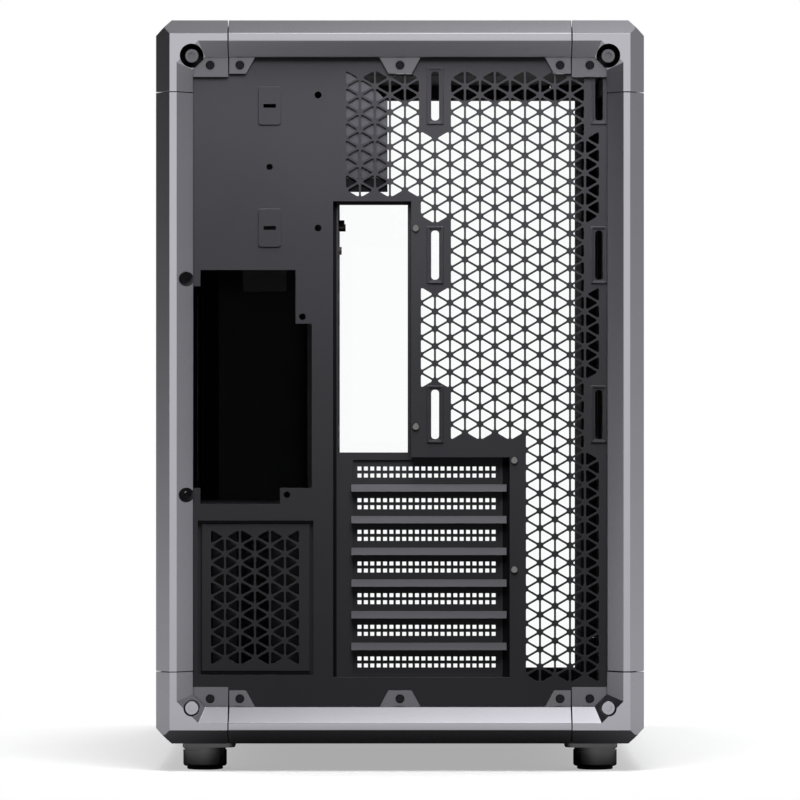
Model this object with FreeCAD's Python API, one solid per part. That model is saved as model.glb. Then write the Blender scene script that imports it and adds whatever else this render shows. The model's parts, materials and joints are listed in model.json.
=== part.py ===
import FreeCAD, Part

import math
import os

from FreeCAD import Vector

# A dual-chamber computer case on a bevelled aluminium frame, standing on four round feet.
# Millimetres. X runs across the rear face, Y from the rear to the front, Z up from the ground.
# The board chamber is on the +X side of the tray, the power supply chamber on the -X side.

# Overall size
case_width = 312.0
case_depth = 460.0
case_height = 480.0
foot_height = 17.5

# Frame bars, measured inward from the outer planes of the case
edge_chamfer = 7.5
rim_width = 4.2
rear_bevel = 11.8
lip_bevel = 3.0
ledge_depth = 8.5
rear_leg = 14.5
panel_leg = 12.5
corner_reach = 46.0
corner_facet = 8.0
seam_gap = 0.5
channel_inset = 5.4
channel_size = 5.0
spigot_length = 16.0
spigot_clearance = 0.1
foot_pad_thickness = 4.0

# Screw tabs that hold the rear panel
tab_thickness = 2.2
corner_tab_height = 12.5
rail_tab_height = 10.5
rail_tab_base = 18.0
middle_tab_base = 29.0
tab_end_run = 7.0
tab_screw_rise = 5.0
corner_screw_inset = 11.0
rail_screw_inset = 7.0
screw_hole = 3.4
screw_shank = 2.8
screw_head = 5.6
screw_head_height = 1.6
screw_length = 6.0

# Corner bolts in the inner corners of the rear face
bolt_inset = 23.0
bolt_head = 9.0
bolt_head_height = 4.5
bolt_shank = 5.0
bolt_seat_depth = 8.0
bolt_clearance = 0.6
bolt_socket = 4.0
bolt_socket_depth = 2.5

# Sheet metal
sheet = 1.0
sheet_gap = 0.5
seat_gap = 0.2

# Triangular vent
vent_pitch = 15.0
vent_bar = 2.6
vent_top_margin = 5.0
vent_side_margin = 1.0
vent_io_land = 8.0
vent_tray_land = 9.0
vent_slot_land = 9.0
vent_bottom_margin = 12.0

# Rear fan slots: two columns, three rows
fan_slot_width = 4.5
fan_slot_length = 33.0
fan_io_gap = 17.55
fan_bracket_gap = 10.95
fan_column_inset = 28.5
fan_top_drop = 24.5
fan_land_width = 19.0
fan_land_length = 44.0
fan_rows = 3

# Power supply opening, standard hole pattern, long side upright
psu_width = 86.0
psu_height = 150.0
psu_side_gap = 1.0
psu_rise = 139.5
psu_hole_inset = 6.0
psu_hole_span = 138.0
psu_hole_short = 64.0
psu_hole_wide = 74.0
psu_hole_rise = 114.0
psu_hole = 4.2
psu_tab = 4.4
psu_left_tab = 8.6
psu_left_cut = 7.0
psu_notch_radius = 6.0
psu_shelf_depth = 140.0
psu_shelf_lip = 10.0

# Chambers and the input/output opening
psu_chamber_width = 99.5
io_gap = 4.5
io_width = 44.45
io_height = 158.75

# Expansion slots
slot_count = 7
slot_pitch = 20.32
slot_first_drop = 12.6
slot_floor_clearance = 28.43
slot_window_length = 94.5
slot_window_height = 15.6
slot_window_inset = 9.5
bracket_width = 110.0
bracket_margin = 9.6
bracket_recess = 5.0
bracket_flange = 5.5
recess_left = 3.4
recess_edge = 2.2
rivet_inset = 2.9
rivet_shank = 2.4
rivet_head = 4.6
rivet_head_height = 1.0
io_rivet_inset = 15.0
slot_rivet_drops = (2.0, 72.0)
cover_height = 18.4
cover_overlap = 3.0
cover_tab = 12.0
cover_hole_columns = 6
cover_hole_height = 3.4
cover_hole_rows_apart = 5.4
cover_hole_bar = 2.0
cover_hole_margin = 6.0
slot_screw_head = 7.0
slot_screw_head_height = 4.5

# Drive vent and the cage behind it
drive_vent_width = 74.0
drive_vent_height = 99.0
drive_vent_inset = 26.5
drive_vent_rise = 30.0
drive_recess = 3.0
drive_rim = 3.0
cage_gap = 2.0
cage_depth = 150.0
cage_strap_left = 16.0
cage_strap_right = 19.0
cage_strap_left_inset = 9.0
cage_strap_right_inset = 45.5
cage_edge = 8.0

# Formed lock pads and small holes on the rear panel
pad_width = 15.0
pad_height = 25.0
pad_raise = 0.7
pad_slot_length = 8.0
pad_slot_height = 2.5
pad_inset = 72.5
pad_drop = 18.4
pad_psu_gap = 14.4
small_hole = 4.5
small_hole_inset = 103.5
small_hole_lift = 7.0
middle_hole = 4.0

# Board tray
tray_rear_flange_width = 37.0
tray_rear_flange_drop = 10.0
tray_rear_flange_height = 85.8
tray_flange_chamfer = 28.0
processor_window_depth = 130.0
processor_window_height = 120.0
processor_window_rear = 55.0
processor_window_drop = 145.0
cable_slot_width = 26.0
cable_slot_height = 90.0
cable_slot_rear = 262.0
cable_slot_radius = 8.0
cable_slot_count = 3
cable_slot_first_rise = 62.0
cable_slot_spacing = 125.0
intake_slot_gap = 17.0
intake_slot_edge = 21.6
intake_slot_height = 8.0
intake_slot_pitch = 24.0
intake_slot_count = 14
intake_slot_rise = 44.0

# Board standoffs, standard board hole pattern
standoff_height = 6.5
standoff_flats = 5.0
standoff_bore = 2.6
board_rear_inset = 10.16
board_rows = (0.0, 154.94, 227.33)
board_columns = (0.0, 157.48, 281.94)
board_rear_shift = 22.86
board_top_inset = 6.35

# Panels
panel_clearance = 0.6
glass_thickness = 4.0
steel_panel_depth = 5.0
mullion_width = 24.0

# Louvre slots in the side, top and floor panels
louvre_length = 96.0
louvre_width = 6.0
louvre_pitch = 14.0
top_louvre_rows = 24
side_louvre_rows = 22
plate_louvre_rows = 16
plate_louvre_inset = 18.0
louvre_column_gap = 12.0
side_louvre_rear = 270.0

# Dust filter under the floor
filter_thickness = 4.0
filter_rim = 9.0
filter_mesh = 0.6
filter_bars = 3

# Feet
foot_radius = 14.0
foot_inset = 30.5
foot_plate = 3.0
foot_plate_inner = 19.5
foot_plate_half = 15.0
foot_edge = 1.5
foot_pad_radius = 11.5
foot_pad_height = 2.0

# Front switch and socket module
module_width = 32.0
module_height = 124.0
module_depth = 20.0
module_wall = 1.6
module_drop = 40.0
circuit_thickness = 1.6
circuit_lift = 3.0
power_radius = 8.0
reset_radius = 3.5
button_clearance = 0.3
button_proud = 1.2
button_flange = 1.5
button_flange_height = 1.5
power_travel = 1.5
reset_travel = 1.2
switch_size = 6.0
switch_gap = 0.5
power_drop = 14.0
reset_drop = 34.0
usb_c_drop = 53.0
usb_a_drops = (75.0, 99.0)
usb_a_width = 5.8
usb_a_height = 13.2
usb_c_width = 3.4
usb_c_height = 9.0
socket_wall = 0.5
socket_clearance = 0.3
socket_floor = 3.0

# Outer planes of the frame block
LOW = (-case_width / 2, -case_depth / 2, foot_height)
HIGH = (case_width / 2, case_depth / 2, case_height)
SIDES = (("left", "right"), ("rear", "front"), ("bottom", "top"))
FACES = [face for pair in SIDES for face in pair]

# Widths worked out from the bar section
rim_edge = edge_chamfer + rim_width
rebate_edge = rim_edge + lip_bevel
border = rim_edge + rear_bevel

# Inner faces of the bars
cavity_low = (LOW[0] + panel_leg, LOW[1] + rear_leg, LOW[2] + panel_leg)
cavity_high = (HIGH[0] - panel_leg, HIGH[1] - panel_leg, HIGH[2] - panel_leg)

# Rear panel planes
panel_out = cavity_low[1]
panel_in = panel_out + sheet

# Floor, roof and tray planes
floor_top = cavity_low[2] + sheet
roof_low = cavity_high[2] - sheet
tray_face = cavity_low[0] + psu_chamber_width
tray_back = tray_face - sheet
tray_low = floor_top + seat_gap
tray_high = roof_low - seat_gap

# Input/output opening
io_left = tray_face + io_gap
io_right = io_left + io_width
bracket_bottom = floor_top + slot_floor_clearance
first_slot = bracket_bottom + bracket_margin + (slot_count - 1) * slot_pitch
io_bottom = first_slot + slot_first_drop
io_top = io_bottom + io_height

# Expansion slot bracket
slot_centres = [first_slot - i * slot_pitch for i in range(slot_count)]
bracket_left = io_left - seat_gap
bracket_right = bracket_left + bracket_width
bracket_top = first_slot + bracket_margin
slot_left = bracket_left + slot_window_inset
slot_right = slot_left + slot_window_length
bracket_plate_out = panel_in + bracket_recess - sheet
bracket_plate_in = bracket_plate_out + sheet

# Power supply opening
psu_left = cavity_low[0] + psu_side_gap
psu_right = psu_left + psu_width
psu_bottom = floor_top + psu_rise
psu_top = psu_bottom + psu_height
psu_hole_x = psu_left + psu_hole_inset
psu_hole_z = psu_bottom + psu_hole_inset

# Fan slots and drive vent
fan_right_x = HIGH[0] - fan_column_inset
fan_columns = (io_right + fan_io_gap, fan_right_x)
fan_first_z = HIGH[2] - border - fan_top_drop
fan_last_z = bracket_top + fan_bracket_gap + fan_slot_length / 2
fan_row_spacing = (fan_first_z - fan_last_z) / (fan_rows - 1)
fan_levels = [fan_first_z - i * fan_row_spacing for i in range(fan_rows)]
drive_left = LOW[0] + drive_vent_inset
drive_right = drive_left + drive_vent_width
drive_low = floor_top + drive_vent_rise
drive_high = drive_low + drive_vent_height

PLANES = {"xz": (Vector(1, 0, 0), Vector(0, 0, 1), Vector(0, 1, 0)),
          "yz": (Vector(0, 1, 0), Vector(0, 0, 1), Vector(1, 0, 0)),
          "xy": (Vector(1, 0, 0), Vector(0, 1, 0), Vector(0, 0, 1))}


def block(x0, x1, y0, y1, z0, z1):
    """Box between two corners."""
    return Part.makeBox(x1 - x0, y1 - y0, z1 - z0, Vector(x0, y0, z0))


def rod(start, direction, radius, length):
    """Cylinder from a point along a direction."""
    return Part.makeCylinder(radius, length, start, direction)


def fuse_all(shapes):
    """One solid from shapes that meet."""
    return shapes[0].multiFuse(shapes[1:]).removeSplitter()


def place(plane, a, b, level):
    """Point from two coordinates in a plane and the plane's level."""
    first, second, normal = PLANES[plane]
    return first * a + second * b + normal * level


def polygon(plane, level, points):
    """Closed wire through plane points."""
    corners = [place(plane, a, b, level) for a, b in points]
    return Part.makePolygon(corners + corners[:1])


def rectangle(plane, level, a0, a1, b0, b1):
    return polygon(plane, level, [(a0, b0), (a1, b0), (a1, b1), (a0, b1)])


def circle(plane, level, a, b, radius):
    return Part.Wire(Part.makeCircle(radius, place(plane, a, b, level), PLANES[plane][2]))


def round_slot(plane, level, a0, a1, b0, b1, radius):
    """Rectangle with round corners."""
    turn = radius * (1 - math.sqrt(0.5))
    rounds = [((a0, b0 + radius), (a0 + turn, b0 + turn), (a0 + radius, b0)),
              ((a1 - radius, b0), (a1 - turn, b0 + turn), (a1, b0 + radius)),
              ((a1, b1 - radius), (a1 - turn, b1 - turn), (a1 - radius, b1)),
              ((a0 + radius, b1), (a0 + turn, b1 - turn), (a0, b1 - radius))]
    edges = []
    for i, points in enumerate(rounds):
        arc = Part.Arc(*[place(plane, a, b, level) for a, b in points])
        edges.append(arc.toShape())
        end = place(plane, *points[2], level)
        start = place(plane, *rounds[(i + 1) % 4][0], level)
        if end.distanceToPoint(start) > 1e-6:
            edges.append(Part.makeLine(end, start))
    return Part.Wire(edges)


def plate(plane, thickness, outline, holes=()):
    """Flat sheet with holes, grown along the plane's normal."""
    face = Part.makeFace([outline, *holes], "Part::FaceMakerBullseye")
    return face.extrude(PLANES[plane][2] * thickness)


def face_axis(face):
    """Axis that a case face looks along, and its side: 0 low, 1 high."""
    return divmod(FACES.index(face), 2)


def span(axis, side, start, stop):
    """Coordinates between two insets from one outer plane of the case."""
    if side == 0:
        return LOW[axis] + start, LOW[axis] + stop
    return HIGH[axis] - stop, HIGH[axis] - start


def span_box(spans):
    """Box from three pairs of coordinates."""
    (x0, x1), (y0, y1), (z0, z1) = spans
    return block(x0, x1, y0, y1, z0, z1)


def inset_wire(face, inset, depth, cut=0.0):
    """Outline at an inset from the edges of a case face, at a depth below it, with its corners cut."""
    axis, side = face_axis(face)
    first, second = [i for i in range(3) if i != axis]
    a0, a1 = LOW[first] + inset, HIGH[first] - inset
    b0, b1 = LOW[second] + inset, HIGH[second] - inset
    points = [(a0, b0), (a1, b0), (a1, b1), (a0, b1)]
    if cut:
        points = [(a0 + cut, b0), (a1 - cut, b0), (a1, b0 + cut), (a1, b1 - cut),
                  (a1 - cut, b1), (a0 + cut, b1), (a0, b1 - cut), (a0, b0 + cut)]
    corners = []
    for a, b in points:
        values = [0.0, 0.0, 0.0]
        values[axis] = span(axis, side, depth, depth)[0]
        values[first], values[second] = a, b
        corners.append(Vector(*values))
    return Part.makePolygon(corners + corners[:1])


def sink(face, inset0, depth0, inset1, depth1, cut0=0.0, cut1=0.0):
    """Tapered or straight block sunk into a case face."""
    wires = [inset_wire(face, inset0, depth0, cut0), inset_wire(face, inset1, depth1, cut1)]
    return Part.makeLoft(wires, True, True)


def frame_opening(face):
    """What is cut from the frame block on one face: bevel, rebate and window."""
    if face == "rear":
        rim_cut = corner_facet + rear_bevel * (2 - math.sqrt(2))
        bevel = sink(face, rim_edge, 0, border, rear_bevel, rim_cut, corner_facet)
        return [bevel, sink(face, border, rear_bevel, border, rear_leg, corner_facet, corner_facet)]
    if face == "bottom":
        return [sink(face, border, 0, border, panel_leg)]
    return [sink(face, rim_edge, 0, rebate_edge, lip_bevel),
            sink(face, rebate_edge, lip_bevel, rebate_edge, ledge_depth),
            sink(face, border, ledge_depth, border, panel_leg)]


def frame_block():
    """The whole frame in one piece, before it is divided into bars and corners."""
    body = span_box(list(zip(LOW, HIGH)))
    body = body.makeChamfer(edge_chamfer, body.Edges)
    cuts = [span_box(list(zip(cavity_low, cavity_high)))]
    for face in FACES:
        cuts += frame_opening(face)
    return body.cut(cuts)


def bar_name(axis, sides):
    """Name from the bar's direction and the two planes it lies on."""
    words = [SIDES[i][sides[i]] for i in range(3) if i != axis]
    return ("frame_rail_", "frame_beam_", "frame_post_")[axis] + "_".join(words)


def rear_point(side_x, side_z, u, w):
    """Place on the rear face from the insets to the side and to the top or bottom edge."""
    return span(0, side_x, u, u)[0], span(2, side_z, w, w)[0]


def tab_plate(side_x, side_z, insets):
    """Flat tab in front of the rear panel, from its corner insets."""
    points = [rear_point(side_x, side_z, u, w) for u, w in insets]
    return plate("xz", tab_thickness, polygon("xz", panel_out - tab_thickness, points))


def corner_tab(side_x, side_z):
    free = border + corner_tab_height
    root = border - tab_thickness
    return tab_plate(side_x, side_z, [(root, root), (corner_reach, root), (corner_reach, free), (root, free)])


def rail_tab(side_x, side_z):
    start = corner_reach + seam_gap
    root, free = border - tab_thickness, border + rail_tab_height
    return tab_plate(side_x, side_z, [(start, root), (start + rail_tab_base, root),
                                      (start + rail_tab_base, border),
                                      (start + rail_tab_base - tab_end_run, free), (start, free)])


def middle_tab(side_z):
    middle, half = case_width / 2, middle_tab_base / 2
    root, free = border - tab_thickness, border + rail_tab_height
    return tab_plate(0, side_z, [(middle - half, root), (middle + half, root), (middle + half, border),
                                 (middle + half - tab_end_run, free), (middle - half + tab_end_run, free),
                                 (middle - half, border)])


def rear_screw_places():
    """Screws through the tabs: two at each corner and one in the middle of each rail."""
    places = []
    rise = border + tab_screw_rise
    for side_z in (0, 1):
        for side_x in (0, 1):
            places.append(rear_point(side_x, side_z, border + corner_screw_inset, rise))
            places.append(rear_point(side_x, side_z, corner_reach + seam_gap + rail_screw_inset, rise))
        places.append(rear_point(0, side_z, case_width / 2, rise))
    return places


def rear_drills(diameter):
    """Cutters for the rear screws, through the tabs and the panel."""
    start = panel_out - tab_thickness - sheet
    length = tab_thickness + 3 * sheet
    return [rod(Vector(x, start, z), Vector(0, 1, 0), diameter / 2, length) for x, z in rear_screw_places()]


def bolt_places():
    return [rear_point(side_x, side_z, bolt_inset, bolt_inset) for side_x in (0, 1) for side_z in (0, 1)]


def frame_bars(body):
    """Twelve hollow bars, cut from the frame block between the corners."""
    bars = {}
    drills = rear_drills(screw_hole)
    for axis in range(3):
        first, second = [i for i in range(3) if i != axis]
        run = (LOW[axis] + corner_reach + seam_gap, HIGH[axis] - corner_reach - seam_gap)
        for side_a in (0, 1):
            for side_b in (0, 1):
                sides = {first: side_a, second: side_b}
                outer, channel = [None] * 3, [None] * 3
                outer[axis] = channel[axis] = run
                for i, side in sides.items():
                    outer[i] = span(i, side, 0, border)
                    channel[i] = span(i, side, channel_inset, channel_inset + channel_size)
                bar = body.common(span_box(outer)).cut(span_box(channel))
                if axis == 0 and sides[1] == 0:
                    tabs = [rail_tab(0, side_b), rail_tab(1, side_b), middle_tab(side_b)]
                    bar = fuse_all([bar, *tabs]).cut(drills)
                if axis == 2 and sides == {0: 0, 1: 0}:
                    bar = bar.cut(psu_notches())
                bars[bar_name(axis, sides)] = bar
    return bars


def psu_notches():
    """Scallops in the rear post that free the two outer power supply screws."""
    start = LOW[1]
    return [rod(Vector(psu_hole_x, start, z), Vector(0, 1, 0), psu_notch_radius, rear_leg)
            for z in (psu_hole_z, psu_hole_z + psu_hole_span)]


def corner_spigot(axis, sides):
    """Square spigot that slides into the channel of the bar along one axis."""
    spans = [None] * 3
    near, far = channel_inset + spigot_clearance, channel_inset + channel_size - spigot_clearance
    for i in range(3):
        if i == axis:
            reach = corner_reach + seam_gap + spigot_length
            spans[i] = span(i, sides[i], corner_reach - sheet, reach)
        else:
            spans[i] = span(i, sides[i], near, far)
    return span_box(spans)


def frame_corners(body):
    """Eight cast corners: three arms, three spigots, screw tabs at the rear, foot pads below."""
    corners = {}
    drills = rear_drills(screw_hole)
    for side_x in (0, 1):
        for side_y in (0, 1):
            for side_z in (0, 1):
                sides = (side_x, side_y, side_z)
                reach = span_box([span(i, sides[i], 0, corner_reach) for i in range(3)])
                pieces = [body.common(reach)] + [corner_spigot(axis, sides) for axis in range(3)]
                if side_z == 0:
                    pad = [span(i, sides[i], border - sheet, corner_reach) for i in (0, 1)]
                    pieces.append(span_box([*pad, (LOW[2], LOW[2] + foot_pad_thickness)]))
                if side_y == 0:
                    pieces.append(corner_tab(side_x, side_z))
                corner = fuse_all(pieces)
                if side_y == 0:
                    corner = corner.cut(drills + bolt_pockets())
                name = "_".join(SIDES[i][sides[i]] for i in (1, 2, 0))
                corners["frame_corner_" + name] = corner
    return corners


def bolt_pockets():
    """Counterbores for the corner bolts."""
    cutters = []
    for x, z in bolt_places():
        seat = Vector(x, LOW[1] + bolt_seat_depth, z)
        cutters.append(rod(seat, Vector(0, -1, 0), bolt_head / 2 + bolt_clearance, bolt_seat_depth))
        cutters.append(rod(seat, Vector(0, 1, 0), bolt_shank / 2 + spigot_clearance, rear_leg))
    return cutters


def corner_bolts():
    """Socket-head bolts in the four rear corners."""
    bolts = []
    flats = bolt_socket / math.sqrt(3)
    for x, z in bolt_places():
        seat = LOW[1] + bolt_seat_depth
        top = seat - bolt_head_height
        head = rod(Vector(x, top, z), Vector(0, 1, 0), bolt_head / 2, bolt_head_height)
        shank = rod(Vector(x, seat, z), Vector(0, 1, 0), bolt_shank / 2, rear_leg - bolt_seat_depth)
        angles = [math.radians(60 * i) for i in range(6)]
        hexagon = [(x + flats * math.cos(t), z + flats * math.sin(t)) for t in angles]
        socket = plate("xz", bolt_socket_depth, polygon("xz", top, hexagon))
        bolts.append(fuse_all([head, shank]).cut(socket))
    return Part.makeCompound(bolts)


def rear_screws():
    """Pan-head screws that clamp the rear panel to the tabs."""
    screws = []
    for x, z in rear_screw_places():
        seat = panel_out - tab_thickness
        head = rod(Vector(x, seat, z), Vector(0, -1, 0), screw_head / 2, screw_head_height)
        shank = rod(Vector(x, seat, z), Vector(0, 1, 0), screw_shank / 2, screw_length)
        screws.append(fuse_all([head, shank]))
    return Part.makeCompound(screws)


def inside(point, box):
    a, b = point
    a0, a1, b0, b1 = box
    return a0 <= a <= a1 and b0 <= b <= b1


def triangle_holes(plane, level, keep, avoid):
    """Triangular holes of an isogrid: bars upright and at thirty degrees, whole triangles only."""
    column = vent_pitch * math.sqrt(3) / 2
    shrink = 1 - vent_bar * math.sqrt(3) / vent_pitch
    a0, a1 = min(k[0] for k in keep), max(k[1] for k in keep)
    b0, b1 = min(k[2] for k in keep), max(k[3] for k in keep)
    wires = []
    for i in range(int((a1 - a0) / column) + 1):
        for j in range(-1, int(2 * (b1 - b0) / vent_pitch) + 1):
            x0, x1 = a0 + i * column, a0 + (i + 1) * column
            z = b0 + j * vent_pitch / 2
            if (i + j) % 2 == 0:
                corners = [(x0, z), (x0, z + vent_pitch), (x1, z + vent_pitch / 2)]
            else:
                corners = [(x1, z), (x1, z + vent_pitch), (x0, z + vent_pitch / 2)]
            middle = [sum(p[k] for p in corners) / 3 for k in (0, 1)]
            hole = [tuple(middle[k] + (p[k] - middle[k]) * shrink for k in (0, 1)) for p in corners]
            kept = any(all(inside(p, box) for p in hole) for box in keep)
            if kept and not any(inside(p, box) for p in hole for box in avoid):
                wires.append(polygon(plane, level, hole))
    return wires


def vent_zones():
    """Boxes of the rear panel that the vent fills, and the lands that it leaves solid."""
    top = HIGH[2] - border - vent_top_margin
    right = HIGH[0] - border - vent_side_margin
    upper = (tray_face + vent_tray_land, right, io_top + vent_io_land, top)
    middle = (io_right + vent_io_land, right, bracket_top + vent_io_land, top)
    lower = (bracket_right + vent_slot_land, right, LOW[2] + border + vent_bottom_margin, top)
    lands = []
    for x in fan_columns:
        for z in fan_levels:
            half_width, half_length = fan_land_width / 2, fan_land_length / 2
            lands.append((x - half_width, x + half_width, z - half_length, z + half_length))
    return [upper, middle, lower], lands


def fan_slots(level):
    """Upright slots for fan screws."""
    half_width, half_length = fan_slot_width / 2, fan_slot_length / 2
    return [round_slot("xz", level, x - half_width, x + half_width,
                       z - half_length, z + half_length, half_width)
            for x in fan_columns for z in fan_levels]


def psu_opening(level):
    """Opening that shows the power supply's back, with a lug round each screw hole."""
    right_x, right_z = psu_hole_x + psu_hole_wide - psu_tab, psu_hole_z + psu_hole_rise - psu_tab
    low_x = psu_hole_x + psu_hole_short - psu_tab
    low_z, high_z = psu_hole_z + psu_tab, psu_hole_z + psu_hole_span - psu_tab
    lug, left = psu_hole_x + psu_left_tab, psu_left + psu_left_cut
    return polygon("xz", level, [(lug, psu_top), (right_x, psu_top), (right_x, right_z), (psu_right, right_z),
                                 (psu_right, low_z), (low_x, low_z), (low_x, psu_bottom), (lug, psu_bottom),
                                 (lug, low_z), (left, low_z), (left, high_z), (lug, high_z)])


def psu_holes(level):
    places = [(0, 0), (0, psu_hole_span), (psu_hole_short, 0), (psu_hole_wide, psu_hole_rise)]
    return [circle("xz", level, psu_hole_x + a, psu_hole_z + b, psu_hole / 2) for a, b in places]


def pad_places():
    """Middles of the lock pads: one under the top of the frame, one over the power supply opening."""
    x = LOW[0] + pad_inset
    high = HIGH[2] - border - pad_drop - pad_height / 2
    return [(x, high), (x, psu_top + pad_psu_gap + pad_height / 2)]


def rear_panel():
    """Steel sheet behind the frame: vent, fan slots, cut-outs and two formed lock pads."""
    level = panel_out
    outline = rectangle("xz", level, cavity_low[0] + sheet_gap, cavity_high[0] - sheet_gap,
                        cavity_low[2] + sheet_gap, cavity_high[2] - sheet_gap)
    keep, lands = vent_zones()
    holes = triangle_holes("xz", level, keep, lands) + fan_slots(level)
    holes += [psu_opening(level), *psu_holes(level)]
    holes.append(polygon("xz", level, recess_outline(0.0, 0.0)))
    holes += [circle("xz", level, x, z, rivet_shank / 2) for x, z in rivet_places()]
    holes.append(rectangle("xz", level, drive_left, drive_right, drive_low, drive_high))
    for x, z in pad_places():
        holes.append(rectangle("xz", level, x - pad_slot_length / 2, x + pad_slot_length / 2,
                               z - pad_slot_height / 2, z + pad_slot_height / 2))
    (pad_x, high), (_, low) = pad_places()
    hole_x = LOW[0] + small_hole_inset
    holes += [circle("xz", level, hole_x, z, small_hole / 2) for z in (high + small_hole_lift, low)]
    holes.append(circle("xz", level, pad_x, (high + low) / 2, middle_hole / 2))
    holes += [circle("xz", level, x, z, screw_hole / 2) for x, z in rear_screw_places()]
    panel = plate("xz", sheet, outline, holes)
    pads = []
    for x, z in pad_places():
        ring = rectangle("xz", level - pad_raise, x - pad_width / 2, x + pad_width / 2,
                         z - pad_height / 2, z + pad_height / 2)
        gap = rectangle("xz", level - pad_raise, x - pad_slot_length / 2, x + pad_slot_length / 2,
                        z - pad_slot_height / 2, z + pad_slot_height / 2)
        pads.append(plate("xz", pad_raise, ring, [gap]))
    return fuse_all([panel, *pads])


def recessed_tray(outline, recess, flange_points, wall_points, holes):
    """Pressed tray behind a window of the rear panel: flange, walls and sunk plate."""
    window = polygon("xz", panel_in, outline)
    rim = plate("xz", sheet, polygon("xz", panel_in, flange_points), [window])
    wall = plate("xz", recess, polygon("xz", panel_in, wall_points), [window])
    floor = plate("xz", sheet, polygon("xz", panel_in + recess - sheet, outline), holes)
    return fuse_all([rim, wall, floor])


def recess_outline(grow, grow_left):
    """Outline of the recess that holds the input/output opening and the slots, grown by an offset."""
    left, right = io_left - recess_left - grow_left, bracket_right + grow
    step_x, step_z = io_right + recess_edge + grow, bracket_top + grow
    low, high = bracket_bottom - grow, io_top + recess_edge + grow
    return [(left, low), (right, low), (right, step_z), (step_x, step_z), (step_x, high), (left, high)]


def rivet_places():
    """Rivets that hold the recessed bracket to the rear panel."""
    x = io_right + recess_edge + rivet_inset
    places = [(x, io_top - io_rivet_inset), (x, bracket_top + io_rivet_inset + rivet_head)]
    return places + [(bracket_right + rivet_inset, bracket_top - drop) for drop in slot_rivet_drops]


def bracket_rivets():
    """Blind rivets through the rear panel and the bracket's flange."""
    rivets = []
    for x, z in rivet_places():
        head = rod(Vector(x, panel_out, z), Vector(0, -1, 0), rivet_head / 2, rivet_head_height)
        outer = [edge for edge in head.Edges if edge.BoundBox.YMax < panel_out]
        crown = head.makeChamfer(rivet_head_height / 2, outer)
        shank = rod(Vector(x, panel_out, z), Vector(0, 1, 0), rivet_shank / 2, 2 * sheet)
        rivets.append(fuse_all([crown, shank]))
    return Part.makeCompound(rivets)


def slot_bracket():
    """Recessed bracket: input/output opening, a window for each slot and a rail for the cover screws."""
    level = bracket_plate_out
    half = slot_window_height / 2
    holes = [rectangle("xz", level, slot_left, slot_right, z - half, z + half) for z in slot_centres]
    holes.append(rectangle("xz", level, io_left, io_right, io_bottom, io_top))
    tray = recessed_tray(recess_outline(0.0, 0.0), bracket_recess, recess_outline(bracket_flange, sheet),
                         recess_outline(sheet, sheet), holes)
    rail_x = slot_right + cover_overlap + seat_gap
    rail = block(rail_x, rail_x + sheet, level, bracket_plate_in + cover_tab, bracket_bottom, bracket_top)
    drills = [rod(Vector(rail_x - sheet, cover_screw_y(), z), Vector(1, 0, 0), screw_hole / 2, 3 * sheet)
              for z in slot_centres]
    drills += [rod(Vector(x, panel_out, z), Vector(0, 1, 0), rivet_shank / 2, 3 * sheet)
               for x, z in rivet_places()]
    return fuse_all([tray, rail]).cut(drills)


def cover_screw_y():
    return bracket_plate_in + cover_tab / 2 + sheet


def slot_cover(z):
    """Perforated cover over one slot, with a bent tab for its screw."""
    left, right = slot_left - cover_overlap, slot_right + cover_overlap
    level, half = bracket_plate_in, cover_height / 2
    pitch = (slot_window_length - 2 * cover_hole_margin + cover_hole_bar) / cover_hole_columns
    holes = []
    for row in (-1, 1):
        centre = z + row * cover_hole_rows_apart / 2
        for i in range(cover_hole_columns):
            start = slot_left + cover_hole_margin + i * pitch
            holes.append(rectangle("xz", level, start, start + pitch - cover_hole_bar,
                                   centre - cover_hole_height / 2, centre + cover_hole_height / 2))
    face = plate("xz", sheet, rectangle("xz", level, left, right, z - half, z + half), holes)
    tab = block(right - sheet, right, level, level + cover_tab, z - half, z + half)
    drill = rod(Vector(right - 2 * sheet, cover_screw_y(), z), Vector(1, 0, 0), screw_hole / 2, 3 * sheet)
    return fuse_all([face, tab]).cut(drill)


def slot_screws():
    """Thumb screws that hold the slot covers to the bracket's rail."""
    screws = []
    seat = slot_right + cover_overlap - sheet
    for z in slot_centres:
        start = Vector(seat, cover_screw_y(), z)
        head = rod(start, Vector(-1, 0, 0), slot_screw_head / 2, slot_screw_head_height)
        shank = rod(start, Vector(1, 0, 0), screw_shank / 2, screw_length)
        screws.append(fuse_all([head, shank]))
    return Part.makeCompound(screws)


def drive_vent():
    """Recessed vent in front of the drive cage, with the same triangles as the main vent."""
    level = panel_in + drive_recess - sheet
    zone = (drive_left + drive_rim, drive_right - drive_rim, drive_low + drive_rim, drive_high - drive_rim)
    holes = triangle_holes("xz", level, [zone], [])
    return recessed_tray(drive_outline(0.0), drive_recess, drive_outline(drive_rim),
                         drive_outline(sheet), holes)


def drive_outline(grow):
    left, right = drive_left - grow, drive_right + grow
    low, high = drive_low - grow, drive_high + grow
    return [(left, low), (right, low), (right, high), (left, high)]


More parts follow.
